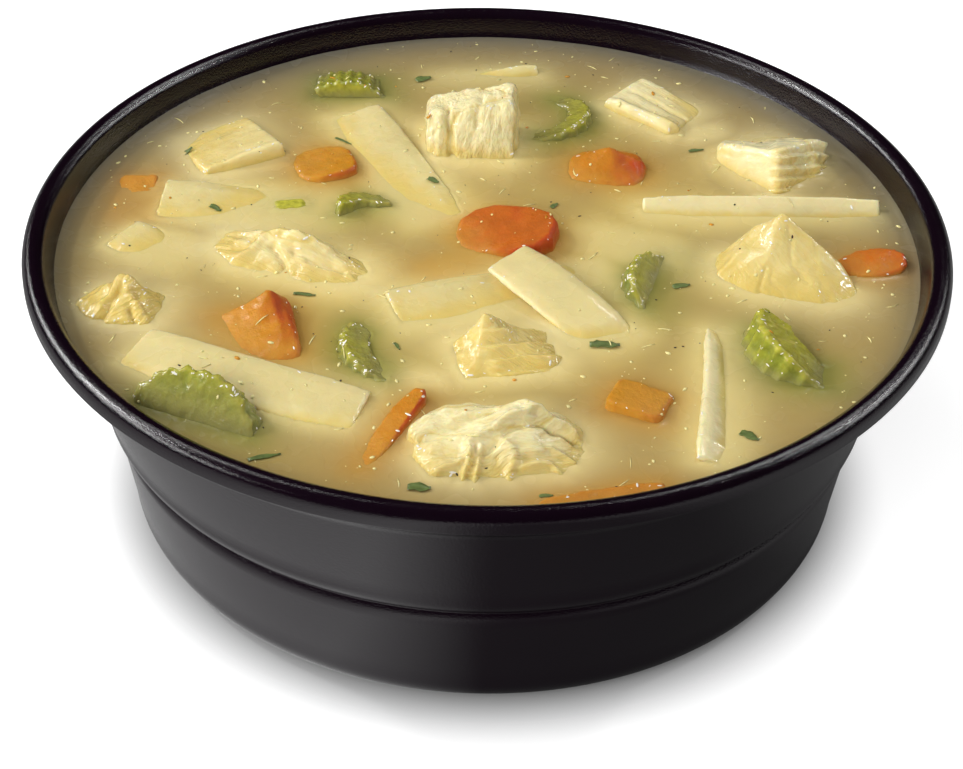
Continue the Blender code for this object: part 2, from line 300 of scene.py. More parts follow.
class FinePiece:
    """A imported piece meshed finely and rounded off, in mm, ready to be worked on."""

    def __init__(self, node, size, rounds):
        draft = bpy.data.objects.new(node + "_draft", frame["nodes"][node].data.copy())
        bpy.context.scene.collection.objects.link(draft)
        remesh = draft.modifiers.new("fine faces", "REMESH")
        remesh.mode = "VOXEL"
        remesh.voxel_size = size
        soften = draft.modifiers.new("rounded edges", "SMOOTH")
        soften.iterations = rounds + MORE_ROUNDS
        smoother = self.read(draft)[0]
        soften.iterations = rounds
        self.points, self.normals, self.faces = self.read(draft)
        bpy.data.objects.remove(draft)
        self.node = node
        self.proud = np.sum((self.points - smoother) * self.normals, axis=1)
        self.above = self.points[:, 2] - SOUP_LEVEL
        self.middle = (self.points.min(0) + self.points.max(0)) / 2

    def read(self, draft):
        shape = draft.evaluated_get(bpy.context.evaluated_depsgraph_get()).to_mesh()
        return vertex_array(shape) / MM, vertex_array(shape, "normal"), face_lists(shape)

    def raise_by(self, height):
        """Moves each point along its normal by a height in mm."""
        self.points = self.points + self.normals * height[:, None]

    def facing(self, azimuth, elevation):
        """How squarely each point faces a direction: 1 straight at it, -1 away from it."""
        return self.normals @ direction(azimuth, elevation)

    def beyond(self, azimuth, start, end):
        """0 to 1 over the stretch from start to end of the way from the middle along an azimuth."""
        return smooth(start, end, (self.points - self.middle) @ direction(azimuth, 0))

    def droop(self, azimuth, start, end, drop):
        """Bends the stretch from start to end along an azimuth down, by up to a drop in mm."""
        self.points[:, 2] -= drop * self.beyond(azimuth, start, end)
        self.above = self.points[:, 2] - SOUP_LEVEL

    def film(self, reach, most, fade, seed):
        """How much soup clings: the most at the soup's level, less up to reach above it, and the fade."""
        above = self.above + 0.25 * reach * rough(self.points, 1.8, seed)
        clinging = most * (1 - smooth(0.0, reach, above))
        if fade:
            azimuth, start, end, share = fade
            clinging = np.maximum(clinging, share * self.beyond(azimuth, start, end))
        return clinging

    def keep_inside(self, gap=0.2):
        """Draws in what would reach into the bowl's wall."""
        wall = bpy.context.scene.soup.bowl.wall / MM
        radii, heights = np.array([(INSIDE_RADIUS, SOUP_LEVEL)] + inner_foot(wall))[::-1].T
        most = np.interp(self.points[:, 2], heights, radii) - gap
        radius = np.hypot(self.points[:, 0], self.points[:, 1]).clip(0.001)
        self.points[:, :2] *= np.minimum(1, most / radius)[:, None]

    def finish(self, name, material, kind, tone, film, grain=None):
        """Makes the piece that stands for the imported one, with what its material reads at each point."""
        self.keep_inside()
        piece = new_piece(name + "_" + self.node, self.points, self.faces, material, kind, [self.node])
        store(piece, "tone", np.clip(tone, 0, 1))
        store(piece, "film", np.clip(film, 0, 1))
        store(piece, "proud", self.proud)
        if grain is not None:
            layer = piece.data.attributes.new("grain", "FLOAT_VECTOR", "POINT")
            layer.data.foreach_set("vector", grain.astype(np.float32).ravel())
        return piece


# ---- materials

def add(tree, kind, inputs=None, **settings):
    """Adds a node with its settings; each input takes a value or the socket that feeds it."""
    node = tree.nodes.new(kind)
    for key, value in settings.items():
        setattr(node, key, value)
    for key, value in (inputs or {}).items():
        if isinstance(value, bpy.types.NodeSocket):
            tree.links.new(value, node.inputs[key])
        else:
            node.inputs[key].default_value = value
    return node


def new_group(name, inputs, outputs):
    """An empty shader group; inputs and outputs are lists of (name, kind of socket, default)."""
    tree = bpy.data.node_groups.new(name, "ShaderNodeTree")
    for in_out, sockets in (("INPUT", inputs), ("OUTPUT", outputs)):
        for label, kind, default in sockets:
            socket = tree.interface.new_socket(label, in_out=in_out, socket_type="NodeSocket" + kind)
            if default is not None:
                socket.default_value = default
    return tree, tree.nodes.new("NodeGroupInput").outputs, tree.nodes.new("NodeGroupOutput").inputs


def group_node(tree, name, inputs):
    """Places a shared group in a material."""
    return add(tree, "ShaderNodeGroup", inputs, node_tree=bpy.data.node_groups[name])


def maths(tree, operation, first, second, **settings):
    """The result of a sum, difference, product or quotient of two values."""
    return add(tree, "ShaderNodeMath", {0: first, 1: second}, operation=operation, **settings).outputs[0]


def mixed(tree, factor, first, second):
    """A colour between two others; a Mix node has one output for each kind of value."""
    node = add(tree, "ShaderNodeMix", {"Factor": factor, "A": first, "B": second}, data_type="RGBA")
    return next(socket for socket in node.outputs if socket.type == "RGBA" and socket.enabled)


def bumped(tree, height, reach, **inputs):
    """The normal of a surface raised by a height, by up to a reach in m."""
    node = add(tree, "ShaderNodeBump", {"Strength": 1.0, "Distance": reach, "Height": height, **inputs})
    return node.outputs["Normal"]


def build_wet_grain():
    """Fine unevenness of a wet surface: a height for a bump, and a roughness that varies with it."""
    tree, given, result = new_group(
        "Wet Grain",
        [("Size", "Float", 0.001), ("Roughness", "Float", 0.3), ("Spread", "Float", 0.3)],
        [("Height", "Float", None), ("Roughness", "Float", None)])
    place = add(tree, "ShaderNodeTexCoord").outputs["Object"]
    scale = maths(tree, "DIVIDE", 1.0, given["Size"])
    fine = add(tree, "ShaderNodeTexNoise", {"Vector": place, "Scale": scale, "Detail": 3.0, "Roughness": 0.6})
    broad = add(tree, "ShaderNodeTexNoise", {"Vector": place, "Scale": 260.0, "Detail": 1.0})
    spread = add(tree, "ShaderNodeMapRange", {
        "Value": broad.outputs[0], "From Min": 0.35, "From Max": 0.65,
        "To Min": maths(tree, "SUBTRACT", 1.0, given["Spread"]),
        "To Max": maths(tree, "ADD", 1.0, given["Spread"])})
    tree.links.new(fine.outputs[0], result["Height"])
    tree.links.new(maths(tree, "MULTIPLY", given["Roughness"], spread.outputs[0]), result["Roughness"])


def build_soup_film():
    """Colour of a piece of food: two tones of its own, a fine mottle, and the soup that clings to it."""
    tree, given, result = new_group(
        "Soup Film",
        [("Colour", "Color", None), ("Second Colour", "Color", None), ("Tone", "Float", 0.0),
         ("Soup", "Color", None), ("Film", "Float", 0.0), ("Mottle Size", "Float", 0.002),
         ("Mottle", "Float", 0.1)],
        [("Colour", "Color", None)])
    place = add(tree, "ShaderNodeTexCoord").outputs["Object"]
    scale = maths(tree, "DIVIDE", 1.0, given["Mottle Size"])
    patches = add(tree, "ShaderNodeTexNoise", {"Vector": place, "Scale": scale, "Detail": 3.0})
    own = mixed(tree, given["Tone"], given["Colour"], given["Second Colour"])
    tone = add(tree, "ShaderNodeMapRange", {
        "Value": patches.outputs[0], "From Min": 0.3, "From Max": 0.7,
        "To Min": maths(tree, "SUBTRACT", 1.0, given["Mottle"]),
        "To Max": maths(tree, "ADD", 1.0, given["Mottle"])})
    mottled = add(tree, "ShaderNodeVectorMath", {0: own, "Scale": tone.outputs[0]}, operation="SCALE")
    tree.links.new(mixed(tree, given["Film"], mottled.outputs[0], given["Soup"]), result["Colour"])


def build_meat_fibre():
    """Fine fibres that run along a piece of meat: a height for a bump, and a share of darker tone, painted
    shade where the fibres dip.
    """
    tree, given, result = new_group(
        "Meat Fibre", [("Grain", "Vector", None), ("Tone", "Float", 0.0), ("Coarseness", "Float", 1.0)],
        [("Height", "Float", None), ("Tone", "Float", None)])
    fine = add(tree, "ShaderNodeTexNoise", {"Vector": given["Grain"], "Scale": 2.6, "Detail": 2.5})
    tree.links.new(maths(tree, "MULTIPLY", fine.outputs[0], given["Coarseness"]), result["Height"])
    # Painted shade between the fibres: darker where they dip.
    fibre_shade = add(tree, "ShaderNodeMapRange", {
        "Value": fine.outputs[0], "From Min": 0.35, "From Max": 0.65, "To Min": 0.3, "To Max": -0.2})
    share = maths(tree, "MULTIPLY", fibre_shade.outputs[0], given["Coarseness"])
    tree.links.new(maths(tree, "ADD", given["Tone"], share, use_clamp=True), result["Tone"])


def rgba(colour):
    return (*colour, 1.0)


def grey(value):
    return (value, value, value, 1.0)


def shader(name, constants):
    """A new material, its tree and its Principled shader, with the values that are the same all over."""
    material = bpy.data.materials.new(name)
    material.use_nodes = True
    surface = material.node_tree.nodes["Principled BSDF"]
    for key, value in constants.items():
        surface.inputs[key].default_value = value
    return material, material.node_tree, surface


def wet_grain(tree, surface, size, roughness, reach, **inputs):
    """Makes a surface's roughness and normal finely uneven; returns the normal."""
    wet = group_node(tree, "Wet Grain", {"Size": size, "Roughness": roughness, **inputs})
    normal = bumped(tree, wet.outputs["Height"], reach)
    tree.links.new(wet.outputs["Roughness"], surface.inputs["Roughness"])
    tree.links.new(normal, surface.inputs["Normal"])
    return normal


def attribute(tree, name, output="Fac"):
    return add(tree, "ShaderNodeAttribute", attribute_name=name).outputs[output]


def food_material(
    name, colour, second, mottle, grain, roughness, depth=0.0012, translucency=0.35, fibre=0.0,
    scatter=(1.0, 0.6, 0.25), gloss=0.5, wet_coat=0.8, soup=None,
):
    """Wet food. mottle: (size in m, strength). grain: (size in m, bump height in m)."""
    material, tree, surface = shader(name, {
        "Subsurface Weight": translucency, "Subsurface Radius": scatter, "Subsurface Scale": depth,
        "Specular IOR Level": gloss, "IOR": 1.42, "Coat Weight": wet_coat, "Coat Roughness": 0.09,
        "Coat IOR": 1.36})
    tone = attribute(tree, "tone")
    normal = wet_grain(tree, surface, grain[0], roughness, grain[1])
    if fibre:
        meat = group_node(tree, "Meat Fibre", {
            "Grain": attribute(tree, "grain", "Vector"), "Tone": tone,
            "Coarseness": attribute(tree, "coarse")})
        tone = meat.outputs["Tone"]
        normal = bumped(tree, meat.outputs["Height"], fibre, Normal=normal)
        tree.links.new(normal, surface.inputs["Normal"])
    film = group_node(tree, "Soup Film", {
        "Colour": rgba(colour), "Second Colour": rgba(second), "Tone": tone,
        "Soup": rgba(soup or bpy.context.scene.soup.broth.colour), "Film": attribute(tree, "film"),
        "Mottle Size": mottle[0], "Mottle": mottle[1]})
    tree.links.new(film.outputs["Colour"], surface.inputs["Base Color"])
    return material


# ---- the bowl

def arc(centre, radius, start, end, steps=8):
    """Points of a round stretch of a profile; 0 degrees is outwards and 90 is up."""
    angles = np.radians(np.linspace(start, end, steps + 1))
    return [(centre[0] + radius * math.cos(a), centre[1] + radius * math.sin(a)) for a in angles]


def revolve(profile, sides):
    """Points and faces of a body turned round Z; the profile starts and ends on the axis."""
    angles = np.linspace(0, 2 * math.pi, sides, endpoint=False)
    points = [(0, 0, profile[0][1])]
    for radius, height in profile[1:-1]:
        points += [(radius * math.cos(a), radius * math.sin(a), height) for a in angles]
    points.append((0, 0, profile[-1][1]))
    faces = []
    rings = len(profile) - 2
    for i in range(sides):
        j = (i + 1) % sides
        faces.append((0, 1 + j, 1 + i))
        for ring in range(rings - 1):
            low, high = 1 + ring * sides, 1 + (ring + 1) * sides
            faces.append((low + i, low + j, high + j, high + i))
        faces.append((1 + (rings - 1) * sides + i, 1 + (rings - 1) * sides + j, len(points) - 1))
    return np.array(points), faces


def straight(start, end, steps):
    """Points between two ends, without the first."""
    return [tuple(np.add(start, np.subtract(end, start) * k / steps)) for k in range(1, steps + 1)]


FOOT = (50.0, 4.4)  # middle of the round between base and wall; its radius is its height
STEP = [(56.5, 18.7), (56.1, 18.95), (56.1, 19.35)]  # the groove between the foot and the band above it
BAND_FOOT, BAND_ROUND = (54.5, 22.4), 3.4
BAND_TOP = (61.7, 38.2)
NECK, NECK_ROUND = (66.6, 36.9), 4.9  # the hollow under the rim
LIP_HEIGHT, LIP_ROUND = 3.2, 0.45
FLOOR_HEIGHT = 1.5
BOWL_SIDES = 288


def outer_wall(bead):
    """Profile of the outside, from the middle of the base to the crest of the rim."""
    lip = RIM_HEIGHT - LIP_HEIGHT
    foot = arc(FOOT, FOOT[1], -90, 4, 10)
    band_foot = arc(BAND_FOOT, BAND_ROUND, -57, 4, 10)
    neck = arc(NECK, NECK_ROUND, 165, 96, 8)
    skirt = arc((RIM_RADIUS - LIP_ROUND, lip + LIP_ROUND), LIP_ROUND, -110, 0, 6)
    shoulder = arc((RIM_RADIUS - bead, RIM_HEIGHT - bead), bead, 0, 90, 12)
    return (
        [(0, 0), (FOOT[0] / 2, 0)] + foot + straight(foot[-1], STEP[0], 6) + STEP[1:] + band_foot
        + straight(band_foot[-1], BAND_TOP, 8) + neck + skirt + shoulder)


def inner_foot(wall):
    """Profile of the inside below the soup's level, down to the edge of the floor."""
    return [
        (60.6, 38.8), (57.9 - wall, 20.4), (56.9 - wall, 19.0), (54.4 - wall, FOOT[1]),
        (FOOT[0] - wall, FLOOR_HEIGHT)]


def inner_wall(wall, bead):
    """Profile of the inside, from the crest of the rim to the middle of the floor."""
    crest = arc((RIM_RADIUS - bead - 0.1, RIM_HEIGHT - bead), bead, 90, 160, 10)
    dry = straight(crest[-1], (INSIDE_RADIUS, SOUP_LEVEL), 2)
    return crest + dry + inner_foot(wall) + [(0, FLOOR_HEIGHT)]


def bowl_material(look):
    material, tree, surface = shader("Moulded Black Plastic", {
        "Base Color": rgba(look.colour), "IOR": 1.49, "Specular IOR Level": 0.9})
    wet_grain(tree, surface, look.grain, look.roughness, 0.00005, Spread=0.05)
    return material


class SOUP_OT_bowl(bpy.types.Operator):
    """Turns the bowl's finely profiled wall and rolled rim"""

    bl_idname = "soup.bowl"
    bl_label = "Bowl"

    def execute(self, context):
        look = context.scene.soup.bowl
        bead = look.bead / MM
        points, faces = revolve(outer_wall(bead) + inner_wall(look.wall / MM, bead), BOWL_SIDES)
        new_piece("moulded_bowl", points, faces, bowl_material(look), "bowl", ["bowl"])
        return {"FINISHED"}


# ---- folds, creases and torn edges

def stroke(points, line, width, height):
    """A rounded ridge, or a groove when the height is negative, along a line of (x, y) places in mm."""
    nearest = np.full(len(points), np.inf)
    line = np.array(line, float)
    for start, end in zip(line, line[1:]):
        along = end - start
        share = np.clip((points[:, :2] - start) @ along / (along @ along), 0, 1)
        nearest = np.minimum(nearest, np.hypot(*(points[:, :2] - start - share[:, None] * along).T))
    return height * np.exp(-(nearest / width) ** 2)


def steps(points, way, spacing, drop, seed):
    """Uneven ledges down a way given as azimuth and elevation: each rises fast and falls off slowly."""
    down = points @ direction(*way) / spacing + 0.3 * rough(points, 5.0, seed, 2)
    phase = down - np.floor(down)
    return drop * (smooth(0.0, 0.3, phase) - phase)


# ---- chicken

class Meat:
    """How one piece of chicken is torn: its grain, fibres, creases, lumps and folds."""

    fibre = (0.8, 0.12)  # width and depth
    crease = (4.0, 0.0)  # spacing and depth
    lump = (4.0, 0.3)  # size and height
    sway = 1.0  # how far the fibres wander
    strokes = ()  # (line, width, height) of each fold or groove
    ledge = None  # the way down, spacing and drop
    ledge_side = None  # azimuth, start and end of the stretch that has ledges
    fade = None  # azimuth, start and end of the stretch lost in the soup, and its share
    reach = 2.4  # how high the soup clings
    warmth = 0.2  # how yellow it is; below 0 only the painted shade in its grooves is
    coarse = 1.0  # how far its finest fibres stand out, 0 to 1
    rounding = 5  # how often its edges are smoothed before it is torn

    def __init__(self, grain, **torn):
        self.grain = grain  # azimuth and elevation, degrees
        vars(self).update(torn)

    def grain_of(self, points, seed):
        """Each point in the piece's own grain: along the fibres, and twice across them."""
        local = points @ grain_frame(direction(*self.grain)).T
        local[:, 1] += self.sway * rough(points, 7.0, seed + 1, 2)
        local[:, 2] += self.sway * rough(points, 7.0, seed + 2, 2)
        return local

    def work(self, fine, seed):
        """Raises and lowers the surface; returns its grain and the painted shade of each point, more the
        deeper it lies in a groove or between fibres.
        """
        local = self.grain_of(fine.points, seed)
        width, depth = self.fibre
        coarse = noise(local, (width * 12, width * 1.8, width * 1.8), seed + 3)
        thin = noise(local, (width * 9, width * 0.8, width * 0.8), seed + 4)
        strands = 0.9 - 1.8 * np.abs(coarse) ** 0.8 + 0.6 * thin
        spacing, cut = self.crease
        field = noise(local, (spacing * 6, spacing, spacing), seed + 6)
        groove = np.exp(-(field / 0.06) ** 2)
        height = depth * strands + self.lump[1] * rough(fine.points, self.lump[0], seed + 5) - cut * groove
        wander = fine.points.copy()
        wander[:, 0] += 0.35 * noise(fine.points, 1.7, seed + 8)
        wander[:, 1] += 0.35 * noise(fine.points, 1.7, seed + 9)
        for line, wide, high in self.strokes:
            height += stroke(wander, line, wide, high)
        if self.ledge:
            ledges = steps(fine.points, *self.ledge, seed + 7)
            height += ledges * fine.beyond(*self.ledge_side) if self.ledge_side else ledges
        fine.raise_by(height * smooth(-4.5, -1.5, fine.above))
        grain = local * (0.12, 1, 1)
        # Painted shade between the fibres and in the creases.
        return grain, 0.45 * np.clip(0.5 - 0.5 * strands, 0, 1) + 0.6 * groove * (cut > 0)


MEAT = {  # lengths in mm, folds and grooves in the soup's own x and y
    "chicken_1": Meat(
        (35, 0), coarse=0.3, warmth=0.3, fibre=(1.4, 0.05), lump=(6.0, 0.2), fade=(150, 1, 9, 0.6),
        rounding=22,
        strokes=[([(-41, 16.5), (-40, 19), (-38, 21), (-35, 22.5), (-32.5, 24)], 0.7, 0.35)]),
    "chicken_2": Meat(
        (85, 80), warmth=-0.1, fibre=(0.9, 0.20), crease=(4.5, 0.22), lump=(2.6, 0.35), sway=0.6,
        strokes=[([(-6.5, 20), (-5.8, 24), (-6.8, 30)], 0.45, -1.0), ([(-2.0, 27), (-1.2, 31)], 0.5, -0.5)]),
    "chicken_3": Meat(
        (-42, 0), coarse=0.4, warmth=0.0, fibre=(1.3, 0.08), lump=(6.0, 0.25), reach=1.6,
        fade=(-20, 1, 8, 0.6), rounding=14,
        strokes=[([(20.5, 40), (25, 36.5), (29.5, 33.5)], 0.8, 0.5), ([(23, 43.5), (32, 36)], 0.5, -0.25)]),
    "chicken_4": Meat(
        (-8, 0), warmth=-0.3, fibre=(0.8, 0.07), crease=(4.0, 0.05), lump=(3.5, 0.25),
        ledge=((-80, -55), 1.7, 0.95), ledge_side=(0, -1.5, 0.5),
        strokes=[([(50.5, 22), (53, 19)], 1.1, 0.7)]),
    "chicken_5": Meat(
        (-35, -25), coarse=0.35, warmth=0.7, fibre=(1.9, 0.04), crease=(6.0, 0.05), lump=(5.0, 0.3),
        sway=2.2, reach=3.2, rounding=22,
        strokes=[
            ([(40, -8.5), (39, -11), (39.5, -12.5)], 0.35, -0.22),
            ([(43.5, -4), (44, -8), (46, -10.5)], 0.35, -0.16),
            ([(41, -9.5), (42.5, -13), (45, -15), (46.5, -17)], 0.35, -0.15),
            ([(44, 4.5), (45.5, 0), (47.5, -6.5), (50.5, -14.5), (53, -19)], 0.6, 0.1),
            ([(32.5, -8.5), (36.5, -5), (38.5, -2), (41.5, 1), (44, 4)], 1.0, 0.5)]),
    "chicken_6": Meat(
        (-12, -12), warmth=0.75, fibre=(0.9, 0.09), lump=(4.0, 0.22), sway=1.2,
        ledge=((-82, -40), 2.3, 0.7), ledge_side=(10, -3.5, -1.0), fade=(180, 3.5, 8.5, 0.45)),
    "chicken_7": Meat(
        (12, 0), warmth=-0.1, fibre=(0.65, 0.14), crease=(3.4, 0.15), lump=(3.4, 0.4), sway=2.6,
        strokes=[
            ([(-10, -46), (-5, -43.5), (-0.5, -42), (2, -40.8), (5, -40.5), (7, -41.5)], 1.2, 0.7),
            ([(-9, -48.5), (-3, -47), (1, -45)], 0.7, -0.8),
            ([(-2, -50), (3.5, -46.5), (7, -45), (11.5, -46)], 0.6, 0.9),
            ([(-0.5, -51.5), (4, -48), (8, -46.8), (12, -47.5)], 0.45, -0.8),
            ([(2, -49.5), (3.6, -51.5), (3.4, -57)], 0.8, 0.7),
            ([(-2, -51), (-2.6, -54), (-3.2, -57)], 0.4, 0.8),
            ([(-0.5, -50.5), (-1, -54.5), (-1.6, -57)], 0.4, 0.8),
            ([(-2, -51), (-4, -53), (-6, -54)], 0.4, 0.6), ([(5, -51.2), (8.5, -50), (11.5, -51)], 0.4, 0.5),
            ([(5, -53), (8.5, -52), (11, -53.5)], 0.4, 0.5), ([(-9.5, -47), (-9, -50)], 0.9, 0.6)]),
    "chicken_8": Meat(
        (45, 10), warmth=0.85, fibre=(0.7, 0.17), crease=(2.4, 0.2), lump=(2.6, 0.28), sway=1.6, reach=6.0,
        strokes=[
            ([(-54, -19), (-52, -15), (-51, -13)], 0.6, 0.35),
            ([(-55, -23), (-53.5, -20), (-52, -17)], 0.5, -0.6),
            ([(-50.5, -17.5), (-48.5, -20), (-46, -24)], 0.6, 0.4), ([(-50, -20), (-48.5, -23)], 0.4, -0.6)]),
    "chicken_9": Meat(
        (-28, 0), coarse=0.6, warmth=0.35, fibre=(1.0, 0.10), crease=(3.2, 0.18), lump=(3.2, 0.3),
        sway=1.6, reach=1.6, fade=(-30, 7, 14, 0.4),
        strokes=[
            ([(-31.5, -4), (-29.5, -7), (-29.5, -11)], 0.5, -0.6),
            ([(-28, -5.5), (-25.5, -7), (-21, -8.5)], 0.5, -0.6),
            ([(-37.5, -6.5), (-32.5, -1.5), (-28.5, -0.5), (-23, -4)], 1.0, 0.5),
            ([(-36.5, -7), (-35, -8)], 0.9, 0.3)]),
}


SHADED_WAY = (-10, -10)  # the way that the side of the chicken with painted shade faces


class SOUP_OT_chicken(bpy.types.Operator):
    """Tears the diced chicken into fibres, creases and ledges, with painted shade in them and on one side"""

    bl_idname = "soup.chicken"
    bl_label = "Chicken"

    def execute(self, context):
        food = context.scene.soup.food
        material = food_material(
            "Cooked Chicken", food.chicken, food.chicken_yellow_and_shade, mottle=(0.004, 0.05), grain=(0.0006, 0.00008),
            roughness=0.3, translucency=0.3, fibre=0.0003)
        for index, (node, meat) in enumerate(MEAT.items()):
            fine = FinePiece(node, FACE_SHARE["chicken"] * food.detail, meat.rounding)
            grain, groove = meat.work(fine, 100 * index)
            # Painted shade in hollows and on the side turned from the lamps, added to the grooves' painted
            # shade; warmth is the yellower colour of some pieces.
            hollow, shaded = smooth(0.1, -0.5, fine.proud), smooth(0.2, 0.9, fine.facing(*SHADED_WAY))
            tone = meat.warmth + groove + 0.3 * hollow + 0.25 * shaded
            film = fine.film(meat.reach, most=0.85, fade=meat.fade, seed=100 * index + 9)
            piece = fine.finish("diced", material, "chicken", tone, film, grain)
            torn = fine.beyond(*meat.ledge_side) if meat.ledge_side else np.ones(len(tone))
            store(piece, "coarse", meat.coarse * (0.25 + 0.75 * torn))
        return {"FINISHED"}


# ---- noodles

class SOUP_OT_noodles(bpy.types.Operator):
    """Lays the flat egg noodles, with painted highlights on their edges"""

    bl_idname = "soup.noodles"
    bl_label = "Noodles"

    def execute(self, context):
        food = context.scene.soup.food
        material = food_material(
            "Boiled Noodle", food.noodle, food.noodle_highlight, mottle=(0.005, 0.04), grain=(0.0012, 0.00008),
            roughness=0.28)
        for seed, node in enumerate(nodes_of("noodle"), 300):
            fine = FinePiece(node, FACE_SHARE["noodle"] * food.detail, rounds=14)
            fine.raise_by(0.08 * rough(fine.points, 5.5, seed) + 0.02 * rough(fine.points, 1.2, seed + 30))
            # Painted highlight: paler on the rounded edges and the upright sides.
            upright = 1 - np.abs(fine.normals[:, 2])
            edge = 0.5 * smooth(0.0, 0.35, fine.proud) + 0.6 * smooth(0.5, 0.95, upright)
            edge += LIT_NOODLES.get(node, 0.0)
            film = fine.film(reach=0.9, most=0.85, fade=None, seed=seed + 60)
            fine.finish("flat", material, "noodle", edge, film)
        return {"FINISHED"}


LIT_NOODLES = {"noodle_8": 0.3, "noodle_9": 0.4}  # how much more painted highlight they get than the rest


# ---- carrots

class SOUP_OT_carrots(bpy.types.Operator):
    """Rounds off the cut carrots, redder on their right sides from painted shade"""

    bl_idname = "soup.carrots"
    bl_label = "Carrots"

    def execute(self, context):
        food = context.scene.soup.food
        material = food_material(
            "Cooked Carrot", food.carrot, food.carrot_red_and_shade, mottle=(0.0025, 0.10), grain=(0.0005, 0.00012),
            roughness=0.34, depth=0.0009, scatter=(1.0, 0.4, 0.1), gloss=0.15, wet_coat=0.12,
            soup=(0.60, 0.29, 0.05))
        for seed, node in enumerate(nodes_of("carrot"), 400):
            fine = FinePiece(node, FACE_SHARE["carrot"] * food.detail, rounds=3)
            fine.raise_by(0.18 * rough(fine.points, 3.0, seed) + 0.06 * rough(fine.points, 0.7, seed + 30))
            # Painted shade: sides facing that way, on the right of each piece, are painted redder; the base
            # redness differs from piece to piece.
            side = fine.facing(*RED_SHADE_WAY) + 0.25 * rough(fine.points, 4.0, seed + 60)
            wide = fine.points[:, 0].max() - fine.middle[0]
            rightmost = fine.beyond(0, -0.3 * wide, 0.4 * wide)
            tone = CARROT_REDNESS[node] + 0.85 * smooth(0.0, 0.6, side) * rightmost
            film = fine.film(reach=1.6, most=0.75, fade=CARROT_FADE.get(node), seed=seed + 90)
            fine.finish("cut", material, "carrot", tone, film)
        return {"FINISHED"}


RED_SHADE_WAY = (-35, 5)  # the way that the sides with painted shade face; they are painted redder
CARROT_REDNESS = {  # 0 to 1, away from those sides
    "carrot_1": 0.35, "carrot_2": 0.05, "carrot_3": 0.1, "carrot_4": 0.7, "carrot_5": 0.25, "carrot_6": 0.62,
    "carrot_7": 0.2, "carrot_8": 0.0, "carrot_9": 0.4,
}
CARROT_FADE = {  # azimuth, start and end of the stretch lost in the soup, and its share
    "carrot_2": (130, 0.0, 6.0, 0.45), "carrot_3": (200, 1.0, 7.0, 0.45), "carrot_4": (215, 3.0, 9.0, 0.3),
    "carrot_5": (-150, 4.0, 8.0, 0.3), "carrot_7": (-115, 4.0, 10.0, 0.6), "carrot_8": (-20, -9.0, 6.0, 0.7),
}


# ---- celery

class SOUP_OT_celery(bpy.types.Operator):
    """Ribs the slices of celery and darkens their skin"""

    bl_idname = "soup.celery"
    bl_label = "Celery"

    def execute(self, context):
        food = context.scene.soup.food
        material = food_material(
            "Cooked Celery", food.celery, food.celery_skin, mottle=(0.0012, 0.22), grain=(0.0005, 0.00014),
            roughness=0.22, wet_coat=0.6, soup=(0.30, 0.27, 0.095))
        for seed, node in enumerate(nodes_of("celery"), 500):
            fine = FinePiece(node, FACE_SHARE["celery"] * food.detail, rounds=2)
            bumps = CELERY_BUMPS.get(node, 0.13) * rough(fine.points, 0.9, seed)
            bumps = bumps + 0.12 * rough(fine.points, 2.6, seed + 30)
            fine.raise_by(bumps + 0.9 * np.clip(fine.proud, -0.5, 0.5))
            if node in CELERY_DROOP:
                fine.droop(*CELERY_DROOP[node])
            skin = fine.normals[:, 2] if node == SKIN_UP else 1 - fine.normals[:, 2]
            # Skin on the sides, with paler ridges and darker grooves: partly the celery's own ribs, partly
            # painted shade in the grooves; the flesh in hollows gets painted shade.
            tone = smooth(0.15, 0.8, skin + 0.3 * rough(fine.points, 1.2, seed + 60) - 1.1 * fine.proud)
            flesh = smooth(0.15, -0.1, fine.proud)
            tone = CELERY_SKIN.get(node, 1.0) * tone + CELERY_FLESH.get(node, 0.0) * flesh
            film = fine.film(reach=2.2, most=0.8, fade=CELERY_FADE.get(node), seed=seed + 90)
            fine.finish("sliced", material, "celery", tone, film)
        return {"FINISHED"}


SKIN_UP = "celery_1"  # the only slice that lies with its ribbed skin upwards
CELERY_BUMPS = {"celery_6": 0.22}  # height of the small bumps, where it isn't 0.13
CELERY_SKIN = {"celery_1": 0.3, "celery_3": 0.5, "celery_5": 0.6}  # how dark the skin is, where it isn't 1
CELERY_FLESH = {"celery_6": 0.5}  # how much darker, as painted shade, the flesh in its hollows is than the rim
CELERY_DROOP = {  # azimuth, start and end of the stretch that hangs down, and by how much
    "celery_4": (-15, -2.5, 3.0, 2.2), "celery_5": (-40, 1.0, 8.0, 1.9), "celery_6": (-112, -1.5, 4.5, 4.2),
    "celery_7": (-40, 0.0, 6.0, 0.6),
}
CELERY_FADE = {  # azimuth, start and end of the stretch lost in the soup, and its share
    "celery_2": (150, -1.0, 7.0, 0.6), "celery_3": (-60, 1.0, 4.0, 0.5), "celery_4": (-15, -3.0, 3.0, 0.7),
    "celery_5": (-30, 1.0, 8.0, 0.8), "celery_6": (-112, -2.5, 3.0, 0.95), "celery_7": (-60, -1.0, 6.0, 0.7),
}


# ---- scraps that lie sunk in the soup

SUNK = [  # kind, place, size along, across and up, turn (degrees), height of its middle above the soup
    ("celery", (-30.0, 10.0), (2.4, 1.3, 0.7), 10, -0.25),
    ("noodle", (20.5, 0.6), (7.0, 3.2, 0.8), -14, -1.6),
    ("chicken", (34.0, 33.5), (2.6, 1.4, 0.8), 20, -0.9),
    ("chicken", (-7.5, -33.5), (1.6, 0.9, 0.5), 0, -0.6),
    ("carrot", (-5.2, -5.6), (4.6, 2.4, 0.6), 30, -1.2),
    ("noodle", (-49.0, 14.0), (2.5, 1.4, 0.6), 30, -1.2),
]


